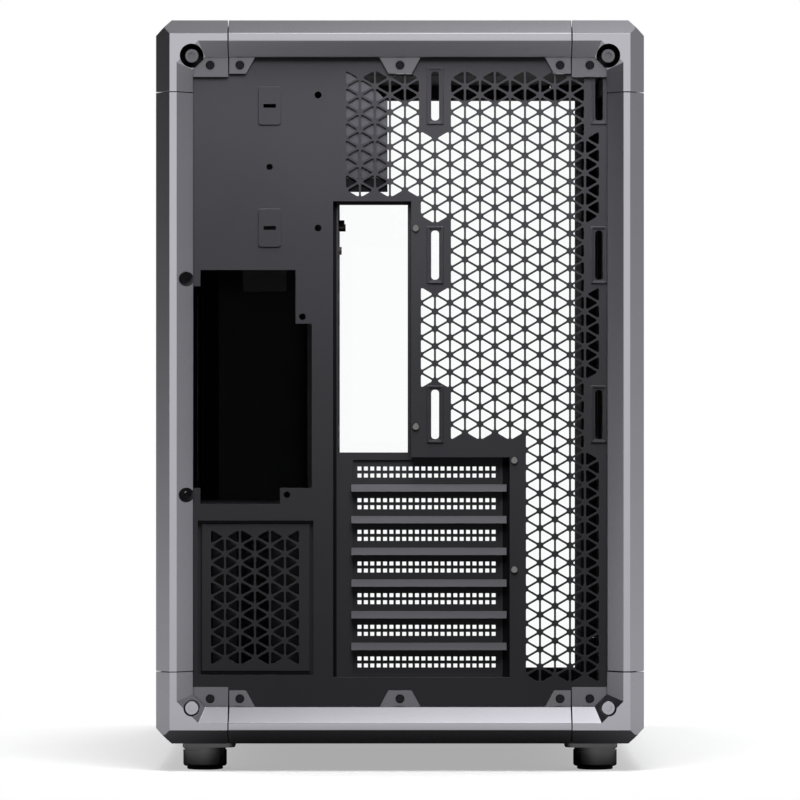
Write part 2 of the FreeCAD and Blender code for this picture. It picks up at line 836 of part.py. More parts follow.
def drive_cage():
    """Folded cage for drives: a strapped end behind the vent, a base on the floor and a top."""
    back = panel_in + drive_recess + cage_gap
    right = tray_back - seat_gap
    high = psu_bottom - psu_shelf_lip - 2 * seat_gap
    level = back
    first = drive_left + cage_strap_left_inset
    second = drive_left + cage_strap_right_inset
    low, top = floor_top + cage_edge, high - cage_edge
    windows = [rectangle("xz", level, drive_left, first, low, top),
               rectangle("xz", level, first + cage_strap_left, second, low, top),
               rectangle("xz", level, second + cage_strap_right, drive_right + cage_gap, low, top)]
    end = plate("xz", sheet, rectangle("xz", level, drive_left - cage_gap, right, floor_top, high), windows)
    base = block(drive_left - cage_gap, right, back, back + cage_depth, floor_top, floor_top + sheet)
    roof = block(drive_left - cage_gap, right, back, back + cage_depth, high - sheet, high)
    return fuse_all([end, base, roof])


def board_tray():
    """Upright sheet between the chambers, with a flange folded against the rear panel."""
    rear, front = panel_in + seat_gap, cavity_high[1] - seat_gap
    level = tray_back
    window_low = io_top + board_top_inset - processor_window_drop
    holes = [round_slot("yz", level, rear + processor_window_rear,
                        rear + processor_window_rear + processor_window_depth,
                        window_low, window_low + processor_window_height, cable_slot_radius)]
    for i in range(cable_slot_count):
        start = rear + cable_slot_rear
        low = floor_top + cable_slot_first_rise + i * cable_slot_spacing
        holes.append(round_slot("yz", level, start, start + cable_slot_width,
                                low, low + cable_slot_height, cable_slot_radius))
    intake_rear = rear + cable_slot_rear + cable_slot_width + intake_slot_gap
    for i in range(intake_slot_count):
        low = floor_top + intake_slot_rise + i * intake_slot_pitch
        holes.append(rectangle("yz", level, intake_rear, front - intake_slot_edge,
                               low, low + intake_slot_height))
    wall = plate("yz", sheet, rectangle("yz", level, rear, front, tray_low, tray_high), holes)
    top = tray_high - tray_rear_flange_drop
    low, edge = top - tray_rear_flange_height, tray_back + tray_rear_flange_width
    outline = [(tray_back, low), (edge, low), (edge, top - tray_flange_chamfer),
               (edge - tray_flange_chamfer, top), (tray_back, top)]
    return fuse_all([wall, plate("xz", sheet, polygon("xz", rear, outline))])


def standoff_places():
    """Board screw places on the tray: three rows from the rear, three columns from the top."""
    places = []
    rear, top = panel_in + seat_gap + board_rear_inset, io_top - board_top_inset
    for i, row in enumerate(board_rows):
        for j, column in enumerate(board_columns):
            shift = board_rear_shift if i == 0 and j == 0 else 0.0
            places.append((rear + row, top - column - shift))
    return places


def board_standoffs():
    """Hexagonal brass standoffs on the tray."""
    posts = []
    radius = standoff_flats / math.sqrt(3)
    angles = [math.radians(60 * i) for i in range(6)]
    for y, z in standoff_places():
        hexagon = [(y + radius * math.cos(t), z + radius * math.sin(t)) for t in angles]
        bore = circle("yz", tray_face, y, z, standoff_bore / 2)
        posts.append(plate("yz", standoff_height, polygon("yz", tray_face, hexagon), [bore]))
    return Part.makeCompound(posts)


def psu_shelf():
    """Folded shelf under the power supply, against the tray."""
    left, right = cavity_low[0] + sheet_gap, tray_back - seat_gap
    rear = panel_in + seat_gap
    top = psu_bottom - seat_gap
    deck = block(left, right, rear, rear + psu_shelf_depth, top - sheet, top)
    lip = block(left, left + sheet, rear, rear + psu_shelf_depth, top - psu_shelf_lip, top)
    fold = block(right - sheet, right, rear, rear + psu_shelf_depth, top - psu_shelf_lip, top)
    return fuse_all([deck, lip, fold])


def louvre_holes(plane, level, a_starts, b_middle, rows):
    """Rows of straight slots in columns."""
    first = b_middle - (rows - 1) * louvre_pitch / 2
    holes = []
    for a in a_starts:
        for i in range(rows):
            centre = first + i * louvre_pitch
            holes.append(rectangle(plane, level, a, a + louvre_length,
                                   centre - louvre_width / 2, centre + louvre_width / 2))
    return holes


def vented_plate(level):
    """Floor on the bottom bars or roof under the top bars, vented in the board chamber."""
    starts = [tray_face + plate_louvre_inset]
    holes = louvre_holes("xy", level, starts, (LOW[1] + HIGH[1]) / 2, plate_louvre_rows)
    outline = rectangle("xy", level, cavity_low[0] + sheet_gap, cavity_high[0] - sheet_gap,
                        panel_in + seat_gap, cavity_high[1] - sheet_gap)
    return plate("xy", sheet, outline, holes)


def dust_filter():
    """Magnetic filter frame under the floor, with its corners cut clear of the feet."""
    edge = border + sheet_gap
    notch = corner_reach - border
    level = cavity_low[2] - filter_thickness
    x0, x1 = LOW[0] + edge, HIGH[0] - edge
    y0, y1 = LOW[1] + edge, HIGH[1] - edge
    outline = [(x0 + notch, y0), (x1 - notch, y0), (x1 - notch, y0 + notch), (x1, y0 + notch),
               (x1, y1 - notch), (x1 - notch, y1 - notch), (x1 - notch, y1), (x0 + notch, y1),
               (x0 + notch, y1 - notch), (x0, y1 - notch), (x0, y0 + notch), (x0 + notch, y0 + notch)]
    inner = notch + filter_rim
    pitch = (y1 - y0 - 2 * inner - filter_rim) / (filter_bars + 1)
    gaps = []
    for i in range(filter_bars + 1):
        start = y0 + inner + i * pitch
        gaps.append(rectangle("xy", level, x0 + filter_rim, x1 - filter_rim,
                              start, start + pitch - filter_rim))
    frame = plate("xy", filter_thickness, polygon("xy", level, outline), gaps)
    mesh = block(x0 + filter_rim, x1 - filter_rim, y0 + inner, y1 - inner,
                 cavity_low[2] - filter_mesh, cavity_low[2])
    return fuse_all([frame, mesh])


def rebate_box(face, depth0, depth1, shrink=0.0):
    """Block that fills a panel rebate between two depths."""
    inset = rebate_edge + panel_clearance + shrink
    return sink(face, inset, depth0, inset, depth1)


def side_glass():
    """Glass pane in the side rebate of the board chamber."""
    return rebate_box("right", ledge_depth - glass_thickness, ledge_depth)


def front_glass():
    """Glass pane in the front rebate, from the mullion to the board chamber's side."""
    pane = rebate_box("front", ledge_depth - glass_thickness, ledge_depth)
    clear = block(LOW[0], mullion_middle() + panel_clearance / 2, 0, HIGH[1], LOW[2], HIGH[2])
    return pane.cut(clear)


def mullion_middle():
    return tray_face - mullion_width / 2


def front_mullion():
    """Upright bar at the front, flush with the tray on the board chamber's side."""
    left = tray_face - mullion_width
    low, high = LOW[2] + border + seat_gap, HIGH[2] - border - seat_gap
    return block(left, left + mullion_width, cavity_high[1], HIGH[1] - ledge_depth, low, high)


def pressed_panel(face, plane, a_limits, b_limits, holes):
    """Steel panel with folded edges that stand on the rebate's ledge."""
    axis, side = face_axis(face)
    outer = ledge_depth - steel_panel_depth
    level = span(axis, side, outer, outer + sheet)[0]
    skirt = span(axis, side, outer, ledge_depth)[0]
    face_wire = rectangle(plane, level, *a_limits, *b_limits)
    deck = plate(plane, sheet, face_wire, holes(level))
    outer_wire = rectangle(plane, skirt, *a_limits, *b_limits)
    inner_wire = rectangle(plane, skirt, a_limits[0] + sheet, a_limits[1] - sheet,
                           b_limits[0] + sheet, b_limits[1] - sheet)
    return fuse_all([deck, plate(plane, steel_panel_depth, outer_wire, [inner_wire])])


def rebate_limits(axis):
    inset = rebate_edge + panel_clearance
    return LOW[axis] + inset, HIGH[axis] - inset


def side_panel():
    """Vented steel panel over the power supply chamber."""
    def holes(level):
        starts = [LOW[1] + side_louvre_rear]
        return louvre_holes("yz", level, starts, (LOW[2] + HIGH[2]) / 2, side_louvre_rows)
    return pressed_panel("left", "yz", rebate_limits(1), rebate_limits(2), holes)


def top_panel():
    """Vented steel panel on the top of the case."""
    def holes(level):
        starts = [-louvre_length - louvre_column_gap / 2, louvre_column_gap / 2]
        return louvre_holes("xy", level, starts, (LOW[1] + HIGH[1]) / 2, top_louvre_rows)
    return pressed_panel("top", "xy", rebate_limits(0), rebate_limits(1), holes)


def module_x():
    """Middle of the front cover, where the buttons and sockets sit in a column."""
    return (rebate_limits(0)[0] + mullion_middle() - panel_clearance / 2) / 2


def module_z(drop):
    return HIGH[2] - module_drop - drop


def cover_face():
    return HIGH[1] - ledge_depth + steel_panel_depth


def front_cover():
    """Steel cover in front of the power supply chamber, pierced for the buttons and sockets."""
    x = module_x()
    limits = (rebate_limits(0)[0], mullion_middle() - panel_clearance / 2)

    def holes(level):
        wires = [circle("xz", level, x, module_z(power_drop), power_radius + button_clearance),
                 circle("xz", level, x, module_z(reset_drop), reset_radius + button_clearance)]
        sockets = [(usb_c_width, usb_c_height, usb_c_drop)]
        sockets += [(usb_a_width, usb_a_height, drop) for drop in usb_a_drops]
        for width, height, drop in sockets:
            a, b = width / 2 + socket_clearance, height / 2 + socket_clearance
            wires.append(rectangle("xz", level, x - a, x + a, module_z(drop) - b, module_z(drop) + b))
        return wires
    return pressed_panel("front", "xz", limits, rebate_limits(2), holes)


def module_limits():
    x, top = module_x(), HIGH[2] - module_drop
    return x - module_width / 2, x + module_width / 2, top - module_height, top


def circuit_level():
    return cover_face() - sheet - module_depth + module_wall + circuit_lift


def io_housing():
    """Open moulded box behind the front cover, with four posts for the circuit board."""
    x0, x1, z0, z1 = module_limits()
    front = cover_face() - sheet
    wall = module_wall
    box = block(x0, x1, front - module_depth, front, z0, z1)
    hollow = block(x0 + wall, x1 - wall, front - module_depth + wall, front, z0 + wall, z1 - wall)
    posts = []
    for a in (x0 + 2 * wall, x1 - 2 * wall):
        for b in (z0 + 2 * wall, z1 - 2 * wall):
            posts.append(block(a - wall, a + wall, front - module_depth, circuit_level(), b - wall, b + wall))
    return fuse_all([box.cut(hollow), *posts])


def io_circuit():
    """Circuit board with its two push switches."""
    x0, x1, z0, z1 = module_limits()
    gap = module_wall + seat_gap
    level = circuit_level()
    pieces = [block(x0 + gap, x1 - gap, level, level + circuit_thickness, z0 + gap, z1 - gap)]
    for drop, travel in ((power_drop, power_travel), (reset_drop, reset_travel)):
        x, z, half = module_x(), module_z(drop), switch_size / 2
        top = button_back() - travel - switch_gap
        pieces.append(block(x - half, x + half, level, top, z - half, z + half))
    return fuse_all(pieces)


def button_back():
    """Inner end of the button caps at rest."""
    return cover_face() - sheet - seat_gap - button_flange_height


def push_button(drop, radius):
    """Round cap with a flange that stops it behind the cover."""
    x, z = module_x(), module_z(drop)
    start = button_back()
    flange = rod(Vector(x, start, z), Vector(0, 1, 0), radius + button_flange, button_flange_height)
    cap = rod(Vector(x, start, z), Vector(0, 1, 0), radius, cover_face() + button_proud - start)
    crown = cap.makeChamfer(button_clearance, [e for e in cap.Edges if e.BoundBox.YMin > cover_face()])
    return fuse_all([flange, crown])


def socket_shell(drop, width, height):
    """Metal socket shell, open to the front, on the circuit board."""
    x, z = module_x(), module_z(drop)
    back, front = circuit_level() + circuit_thickness, cover_face()
    shell = block(x - width / 2, x + width / 2, back, front, z - height / 2, z + height / 2)
    hollow = block(x - width / 2 + socket_wall, x + width / 2 - socket_wall, back + socket_floor, front,
                   z - height / 2 + socket_wall, z + height / 2 - socket_wall)
    return shell.cut(hollow)


def foot(side_x, side_y):
    """Turned foot with a base plate that reaches inward under the frame."""
    x = span(0, side_x, foot_inset, foot_inset)[0]
    y = span(1, side_y, foot_inset, foot_inset)[0]
    inner = span(0, side_x, foot_inset - foot_radius, foot_inset + foot_plate_inner)
    low = LOW[2] - foot_plate
    base = block(*inner, y - foot_plate_half, y + foot_plate_half, low, LOW[2])
    drum = rod(Vector(x, y, foot_pad_height), Vector(0, 0, 1), foot_radius, low - foot_pad_height)
    rim = [edge for edge in drum.Edges if edge.BoundBox.ZMax < foot_pad_height + foot_edge]
    return fuse_all([base, drum.makeChamfer(foot_edge, rim)])


def foot_pads():
    """Rubber discs under the feet."""
    pads = []
    for side_x in (0, 1):
        for side_y in (0, 1):
            x = span(0, side_x, foot_inset, foot_inset)[0]
            y = span(1, side_y, foot_inset, foot_inset)[0]
            pads.append(rod(Vector(x, y, 0), Vector(0, 0, 1), foot_pad_radius, foot_pad_height))
    return Part.makeCompound(pads)


def build():
    body = frame_block()
    nodes = {**frame_bars(body), **frame_corners(body)}
    nodes["corner_bolts"] = corner_bolts()
    nodes["rear_panel"] = rear_panel()
    nodes["rear_panel_screws"] = rear_screws()
    nodes["slot_bracket"] = slot_bracket()
    nodes["bracket_rivets"] = bracket_rivets()
    for i, z in enumerate(slot_centres):
        nodes["slot_cover_%d" % (i + 1)] = slot_cover(z)
    nodes["slot_screws"] = slot_screws()
    nodes["drive_vent"] = drive_vent()
    nodes["drive_cage"] = drive_cage()
    nodes["board_tray"] = board_tray()
    nodes["board_standoffs"] = board_standoffs()
    nodes["psu_shelf"] = psu_shelf()
    nodes["floor_plate"] = vented_plate(cavity_low[2])
    nodes["roof_plate"] = vented_plate(roof_low)
    nodes["dust_filter"] = dust_filter()
    nodes["side_glass"] = side_glass()
    nodes["front_glass"] = front_glass()
    nodes["front_mullion"] = front_mullion()
    nodes["side_panel"] = side_panel()
    nodes["top_panel"] = top_panel()
    nodes["front_cover"] = front_cover()
    nodes["io_housing"] = io_housing()
    nodes["io_circuit"] = io_circuit()
    nodes["power_button"] = push_button(power_drop, power_radius)
    nodes["reset_button"] = push_button(reset_drop, reset_radius)
    nodes["usb_c_socket"] = socket_shell(usb_c_drop, usb_c_width, usb_c_height)
    for i, drop in enumerate(usb_a_drops):
        nodes["usb_a_socket_%d" % (i + 1)] = socket_shell(drop, usb_a_width, usb_a_height)
    for side_y in (0, 1):
        for side_x in (0, 1):
            nodes["foot_%s_%s" % (SIDES[1][side_y], SIDES[0][side_x])] = foot(side_x, side_y)
    nodes["foot_pads"] = foot_pads()
    return nodes


os.makedirs("parts", exist_ok=True)
for name, shape in build().items():
    shape.exportStep("parts/" + name + ".step")
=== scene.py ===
"""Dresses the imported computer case: frame, sheet metal, glass and fasteners, with finishes and a stage."""

import json
import math

import bmesh
import bpy
from mathutils import Matrix, Vector

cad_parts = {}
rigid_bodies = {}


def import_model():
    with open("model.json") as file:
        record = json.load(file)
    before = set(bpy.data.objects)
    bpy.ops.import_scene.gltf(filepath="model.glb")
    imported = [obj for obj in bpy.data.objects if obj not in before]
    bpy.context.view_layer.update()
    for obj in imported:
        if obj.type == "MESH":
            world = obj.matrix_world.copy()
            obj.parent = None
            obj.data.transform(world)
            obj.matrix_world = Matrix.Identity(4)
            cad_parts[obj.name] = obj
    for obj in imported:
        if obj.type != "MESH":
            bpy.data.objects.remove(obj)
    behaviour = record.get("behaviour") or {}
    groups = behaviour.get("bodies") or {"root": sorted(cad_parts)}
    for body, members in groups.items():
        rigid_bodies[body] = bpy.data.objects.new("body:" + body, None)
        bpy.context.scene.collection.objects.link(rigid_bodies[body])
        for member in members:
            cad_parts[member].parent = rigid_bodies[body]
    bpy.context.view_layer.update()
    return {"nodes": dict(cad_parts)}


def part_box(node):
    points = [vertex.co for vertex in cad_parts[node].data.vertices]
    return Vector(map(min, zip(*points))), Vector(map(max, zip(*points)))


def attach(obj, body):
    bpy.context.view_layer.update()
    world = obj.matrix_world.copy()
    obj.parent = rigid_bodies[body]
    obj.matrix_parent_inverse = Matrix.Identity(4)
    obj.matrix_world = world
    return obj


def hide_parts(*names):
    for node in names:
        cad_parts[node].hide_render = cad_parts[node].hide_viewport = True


bl_info = {
    "name": "Computer Case Pieces",
    "version": (1, 0, 0),
    "blender": (4, 5, 0),
    "location": "3D View > Sidebar > Computer Case",
    "description": "Models the visible pieces of a computer case over its packed solids",
    "category": "Object",
}

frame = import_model()

MM = 0.001
PAST = 5.0
SIDES = (("left", "right"), ("rear", "front"), ("bottom", "top"))
FACE_AXES = {
    "rear": ((1, 0, 0), (0, 0, 1)),
    "front": ((0, 0, 1), (1, 0, 0)),
    "right": ((0, 1, 0), (0, 0, 1)),
    "left": ((0, 0, 1), (0, 1, 0)),
    "top": ((1, 0, 0), (0, 1, 0)),
    "bottom": ((0, 1, 0), (1, 0, 0)),
}


def linear(code):
    """Linear colour from an sRGB hex code."""
    channels = [int(code[i:i + 2], 16) / 255 for i in (1, 3, 5)]
    return [c / 12.92 if c <= 0.04045 else ((c + 0.055) / 1.055) ** 2.4 for c in channels]


def node_box(node):
    """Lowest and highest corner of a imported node, in millimetres."""
    low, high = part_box(node)
    return low / MM, high / MM


CASE_LOW = node_box("frame_corner_rear_bottom_left")[0]
CASE_HIGH = node_box("frame_corner_front_top_right")[1]
SHEET = 1.0
PANEL_IN = node_box("rear_panel")[1].y
PANEL_OUT = PANEL_IN - SHEET


def length(name, description, millimetres):
    """A size property with its default in millimetres."""
    return bpy.props.FloatProperty(name=name, description=description, default=millimetres * MM,
                                   min=0.0, precision=5, subtype="DISTANCE", unit="LENGTH")


def colour(name, description, code):
    """A colour property with its default as an sRGB hex code."""
    return bpy.props.FloatVectorProperty(name=name, description=description, default=linear(code),
                                         size=3, min=0.0, max=1.0, subtype="COLOR")


class CaseSizes(bpy.types.PropertyGroup):
    """Sizes that a user may change."""

    edge_chamfer: length("Edge chamfer", "Chamfer along the outer edges of the frame", 7.5)
    rim: length("Rim", "Flat band beside the chamfer", 4.2)
    ledge_width: length("Ledge width", "Width of the ledge inside the rim", 11.8)
    rear_chamfer: length("Rear chamfer", "Chamfer along the outer edges of the rear face", 9.0)
    rear_rim: length("Rear rim", "Flat band of the rear face", 4.6)
    lip_bevel: length("Lip bevel", "Slope that leads into a panel rebate", 3.0)
    ledge_depth: length("Ledge depth", "Depth of the ledge that carries a panel", 8.5)
    rear_leg: length("Rear leg", "Depth of the frame in front of the rear panel", 14.5)
    panel_leg: length("Panel leg", "Depth of the frame on the other faces", 12.5)
    corner_reach: length("Corner reach", "Length of each arm of a corner casting", 46.0)
    corner_facet: length("Corner facet", "Cut across the inner corners of the rear opening", 8.0)
    corner_cut: length("Corner cut", "Cut across the outer corners of the castings", 10.0)
    seam: length("Seam", "Gap between a bar and a corner casting", 0.5)
    edge_break: length("Edge break", "Rounding left on machined edges", 0.45)
    vent_pitch: length("Vent pitch", "Side of the triangles of the vent", 11.1)
    vent_bar: length("Vent bar", "Width of the bars between the triangular holes", 1.3)
    vent_round: length("Vent rounding", "Radius in the corners of the triangular holes", 0.8)
    fan_slot_width: length("Fan slot width", "Width of the upright fan screw slots", 5.0)
    fan_slot_length: length("Fan slot length", "Length of the upright fan screw slots", 31.5)
    cover_hole: length("Cover hole", "Side of the square holes in the slot covers", 2.5)
    cover_pitch: length("Cover pitch", "Distance between the holes along a slot cover", 4.1)
    cover_rows: length("Cover rows", "Distance between the two rows of holes", 4.5)
    divider: length("Divider", "Height of the raised bars between the slots", 4.6)
    frit_side: length("Glass border, sides", "Black border along the upright edges of the glass", 13.0)
    frit_bar: length("Glass border, bar", "Black border of the front glass along the upright bar", 10.0)
    frit_end: length("Glass border, ends", "Black border along the top and bottom of the glass", 9.0)
    louvre_length: length("Louvre length", "Length of the slots in the side and top panels", 96.0)
    louvre_width: length("Louvre width", "Width of the slots in the side and top panels", 6.0)
    louvre_pitch: length("Louvre pitch", "Distance between the slots", 14.0)
    foot_radius: length("Foot radius", "Radius of the turned feet", 14.0)


class CaseColours(bpy.types.PropertyGroup):
    """Colours that a user may change."""

    aluminium: colour("Aluminium", "Anodised frame", "#c2c1c8")
    tabs: colour("Tabs", "Coarsely blasted screw tabs of the frame", "#908f95")
    steel: colour("Steel", "Powder-coated outer sheet metal", "#3c3b3f")
    # Lighter grey used as painted light on the slot dividers and on the tray flange behind the vent.
    slots: colour("Slots", "Powder-coated lips between the slots, and edge of the board tray", "#545358")
    # Black of the inside steel: partly its real coat, partly painted shade, also put on frame faces and recess
    # walls that lie in shade.
    black_steel_and_painted_shade: colour("Inner steel", "Powder-coated sheet metal inside the case", "#1b1a1d")
    plastic: colour("Plastic", "Moulded feet, buttons and housing", "#1b1b1d")
    rubber: colour("Rubber", "Foot pads and grommets", "#161617")
    enamel: colour("Enamel", "Border printed on the glass", "#08080a")
    screws: colour("Screws", "Black-zinc screws and bolts", "#2b2a2e")
    brass: colour("Brass", "Black-nickelled board standoffs", "#4a443c")
    bolts: colour("Bolts", "Clear-zinc corner bolts", "#77767b")
    rivets: colour("Rivets", "Bare aluminium of the blind rivets", "#8a8988")
    nickel: colour("Nickel", "Socket shells", "#b9b8b4")
    board: colour("Circuit board", "Solder mask of the small circuit board", "#16301f")
    mesh: colour("Filter mesh", "Woven nylon of the dust filter", "#232326")
    floor: colour("Floor", "Studio floor", "#f2f2f3")


def take(obj):
    """Makes an object the active one and the only one selected."""
    bpy.ops.object.select_all(action="DESELECT")
    obj.select_set(True)
    bpy.context.view_layer.objects.active = obj
    return obj


def settle(name):
    """Names the active object and puts its place in its mesh."""
    obj = bpy.context.object
    obj.name = obj.data.name = name
    bpy.ops.object.transform_apply(location=True, rotation=True, scale=True)
    return obj


def cube(name, low, high):
    """Cube between two corners."""
    low, high = Vector(low) * MM, Vector(high) * MM
    bpy.ops.mesh.primitive_cube_add(size=1, location=(low + high) / 2)
    bpy.context.object.scale = high - low
    return settle(name)


def rod(name, centre, axis, radius, depth, sides=32):
    """Cylinder about a centre, along one axis."""
    turn = {"X": (0, math.pi / 2, 0), "Y": (math.pi / 2, 0, 0), "Z": (0, 0, 0)}[axis]
    bpy.ops.mesh.primitive_cylinder_add(vertices=sides, radius=radius * MM, depth=depth * MM,
                                        location=Vector(centre) * MM, rotation=turn)
    return settle(name)


def pick(obj, kind, test):
    """Opens an object in edit mode with the faces, edges or vertices selected that pass a test."""
    take(obj)
    bpy.ops.object.mode_set(mode="EDIT")
    bpy.ops.mesh.select_mode(type=kind)
    bpy.ops.mesh.select_all(action="DESELECT")
    mesh = bmesh.from_edit_mesh(obj.data)
    mesh.normal_update()
    parts = {"FACE": mesh.faces, "EDGE": mesh.edges, "VERT": mesh.verts}[kind]
    for part in parts:
        if test(part):
            part.select_set(True)
    mesh.select_flush_mode()
    bmesh.update_edit_mesh(obj.data)


def shape_done(obj):
    """Leaves edit mode with the normals pointing outwards."""
    bpy.ops.mesh.select_all(action="SELECT")
    bpy.ops.mesh.normals_make_consistent(inside=False)
    bpy.ops.object.mode_set(mode="OBJECT")
    return obj


def facing(axis, sign):
    """Test for faces whose normal points along an axis."""
    return lambda face: face.normal[axis] * sign > 0.9


def along(axis):
    """Test for edges that run along an axis."""
    return lambda edge: abs((edge.verts[1].co - edge.verts[0].co).normalized()[axis]) > 0.99


def round_edges(obj, width, test, segments=4):
    """Bevels the chosen edges of an object."""
    pick(obj, "EDGE", test)
    bpy.ops.mesh.bevel(offset=width * MM, segments=segments, affect="EDGES")
    return shape_done(obj)


def boolean(obj, operation, *others):
    """Joins, cuts or trims an object with others, which are used up."""
    for other in others:
        take(obj)
        modifier = obj.modifiers.new("Shape", "BOOLEAN")
        modifier.operation = operation
        modifier.solver = "MANIFOLD"
        modifier.object = other
        bpy.ops.object.modifier_apply(modifier=modifier.name)
        bpy.data.objects.remove(other)
    if not obj.data.polygons:
        raise RuntimeError(f"nothing is left of {obj.name}")
    return obj


def repeat(obj, step, count):
    """Repeats an object in a row."""
    take(obj)
    modifier = obj.modifiers.new("Row", "ARRAY")
    modifier.use_relative_offset = False
    modifier.use_constant_offset = True
    modifier.constant_offset_displace = Vector(step) * MM
    modifier.count = count
    bpy.ops.object.modifier_apply(modifier=modifier.name)
    return obj


def copy(obj, name, shift=(0, 0, 0)):
    """A copy with its own mesh, moved by a shift."""
    take(obj)
    bpy.ops.object.duplicate()
    bpy.ops.transform.translate(value=Vector(shift) * MM)
    return settle(name)


def join(name, pieces):
    """One object from several."""
    take(pieces[0])
    for piece in pieces:
        piece.select_set(True)
    bpy.ops.object.join()
    return settle(name)


def scatter(obj, name, shifts):
    """Copies of an object at several shifts, joined in one object."""
    copies = [copy(obj, name, shift) for shift in shifts]
    bpy.data.objects.remove(obj)
    return join(name, copies)


def soften(obj, width, segments=2):
    """Rounds the sharp edges a little and keeps the flat faces flat."""
    take(obj)
    bpy.ops.object.mode_set(mode="EDIT")
    bpy.ops.mesh.select_all(action="SELECT")
    bpy.ops.mesh.remove_doubles(threshold=0.02 * MM)
    bpy.ops.mesh.dissolve_limited(angle_limit=math.radians(0.5))
    bpy.ops.object.mode_set(mode="OBJECT")
    bevel = obj.modifiers.new("Edges", "BEVEL")
    bevel.width = width * MM
    bevel.segments = segments
    bevel.limit_method = "ANGLE"
    bevel.angle_limit = math.radians(25)
    bpy.ops.object.modifier_apply(modifier=bevel.name)
    return smooth(obj)


def smooth(obj):
    """Smooth shading that leaves flat faces flat."""
    take(obj)
    bpy.ops.object.shade_smooth_by_angle(angle=math.radians(40))
    normals = obj.modifiers.new("Normals", "WEIGHTED_NORMAL")
    normals.keep_sharp = True
    bpy.ops.object.modifier_apply(modifier=normals.name)
    return obj


def rework(node, width):
    """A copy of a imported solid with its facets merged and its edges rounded."""
    take(frame["nodes"][node])
    bpy.ops.object.duplicate()
    obj = settle(node + "_finished")
    bpy.ops.object.mode_set(mode="EDIT")
    bpy.ops.mesh.select_all(action="SELECT")
    bpy.ops.mesh.remove_doubles(threshold=0.01 * MM)
    bpy.ops.object.mode_set(mode="OBJECT")
    return soften(obj, width)


def dress(obj, finish, body, slot, *nodes):
    """Gives a finished piece its material, its body and the nodes that it stands for."""
    obj.data.materials.clear()
    obj.data.materials.append(finish)
    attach(obj, body)
    if nodes:
        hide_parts(*nodes)
    return obj


def add_node(tree, kind, values=None, links=None, **settings):
    """Adds a shader node, sets its fields and sockets, and links its inputs."""
    made = tree.nodes.new(kind)
    for field, value in settings.items():
        setattr(made, field, value)
    for socket, value in (values or {}).items():
        made.inputs[socket].default_value = value
    for socket, source in (links or {}).items():
        tree.links.new(source, made.inputs[socket])
    return made


def start_material(name):
    """An empty node material with its tree and its output node."""
    found = bpy.data.materials.get(name)
    if found:
        bpy.data.materials.remove(found)
    material = bpy.data.materials.new(name)
    material.use_nodes = True
    material.node_tree.nodes.clear()
    return material, material.node_tree


def grained(name, base, metallic, roughness, grain, depth, mottle, spread, specular=0.5, coat=0.0):
    """A coated or blasted surface: fine grain in the bump, slow mottling in colour and roughness.

    grain and mottle are real sizes in millimetres, depth is the bump height in millimetres,
    coat is the share of a polished skin.
    """
    material, tree = start_material(name)
    place = add_node(tree, "ShaderNodeTexCoord")
    slow = add_node(tree, "ShaderNodeTexNoise", {"Scale": 1 / (mottle * MM), "Detail": 3.0},
                    {"Vector": place.outputs["Object"]})
    fine = add_node(tree, "ShaderNodeTexNoise", {"Scale": 1 / (grain * MM), "Detail": 2.0},
                    {"Vector": place.outputs["Object"]})
    dark = [c * (1 - spread) for c in base] + [1.0]
    light = [min(1.0, c * (1 + spread)) for c in base] + [1.0]
    tint = add_node(tree, "ShaderNodeMix", {"A": dark, "B": light},
                    {"Factor": slow.outputs["Fac"]}, data_type="RGBA")
    rough = add_node(tree, "ShaderNodeMapRange", {"To Min": roughness * 0.95, "To Max": roughness * 1.05},
                     {"Value": fine.outputs["Fac"]})
    bump = add_node(tree, "ShaderNodeBump", {"Strength": 0.5, "Distance": depth * MM},
                    {"Height": fine.outputs["Fac"]})
    shader = add_node(tree, "ShaderNodeBsdfPrincipled",
                      {"Metallic": metallic, "Specular IOR Level": specular, "Coat Weight": coat},
                      {"Base Color": tint.outputs["Result"], "Roughness": rough.outputs["Result"],
                       "Normal": bump.outputs["Normal"]})
    add_node(tree, "ShaderNodeOutputMaterial", None, {"Surface": shader.outputs["BSDF"]})
    return material


def clear_glass(name):
    """Float glass: clear, a little reflection at the edges. Light from the lamps passes straight through.

    The index is below that of real glass, so that the white studio doesn't veil the inside of the case.
    """
    material, tree = start_material(name)
    place = add_node(tree, "ShaderNodeTexCoord")
    # Rolled glass has waves some 60 mm long that only bend the reflections.
    wave = add_node(tree, "ShaderNodeTexNoise", {"Scale": 1 / (60 * MM), "Detail": 0.0},
                    {"Vector": place.outputs["Object"]})
    bump = add_node(tree, "ShaderNodeBump", {"Strength": 0.05, "Distance": 0.02 * MM},
                    {"Height": wave.outputs["Fac"]})
    pane = add_node(tree, "ShaderNodeBsdfPrincipled",
                    {"Base Color": (0.97, 0.985, 0.98, 1.0), "Roughness": 0.0, "IOR": 1.2,
                     "Transmission Weight": 1.0}, {"Normal": bump.outputs["Normal"]})
    through = add_node(tree, "ShaderNodeBsdfTransparent", {"Color": (0.94, 0.96, 0.95, 1.0)})
    path = add_node(tree, "ShaderNodeLightPath")
    both = add_node(tree, "ShaderNodeMixShader", None,
                    {0: path.outputs["Is Shadow Ray"], 1: pane.outputs["BSDF"], 2: through.outputs["BSDF"]})
    add_node(tree, "ShaderNodeOutputMaterial", None, {"Surface": both.outputs["Shader"]})
    return material


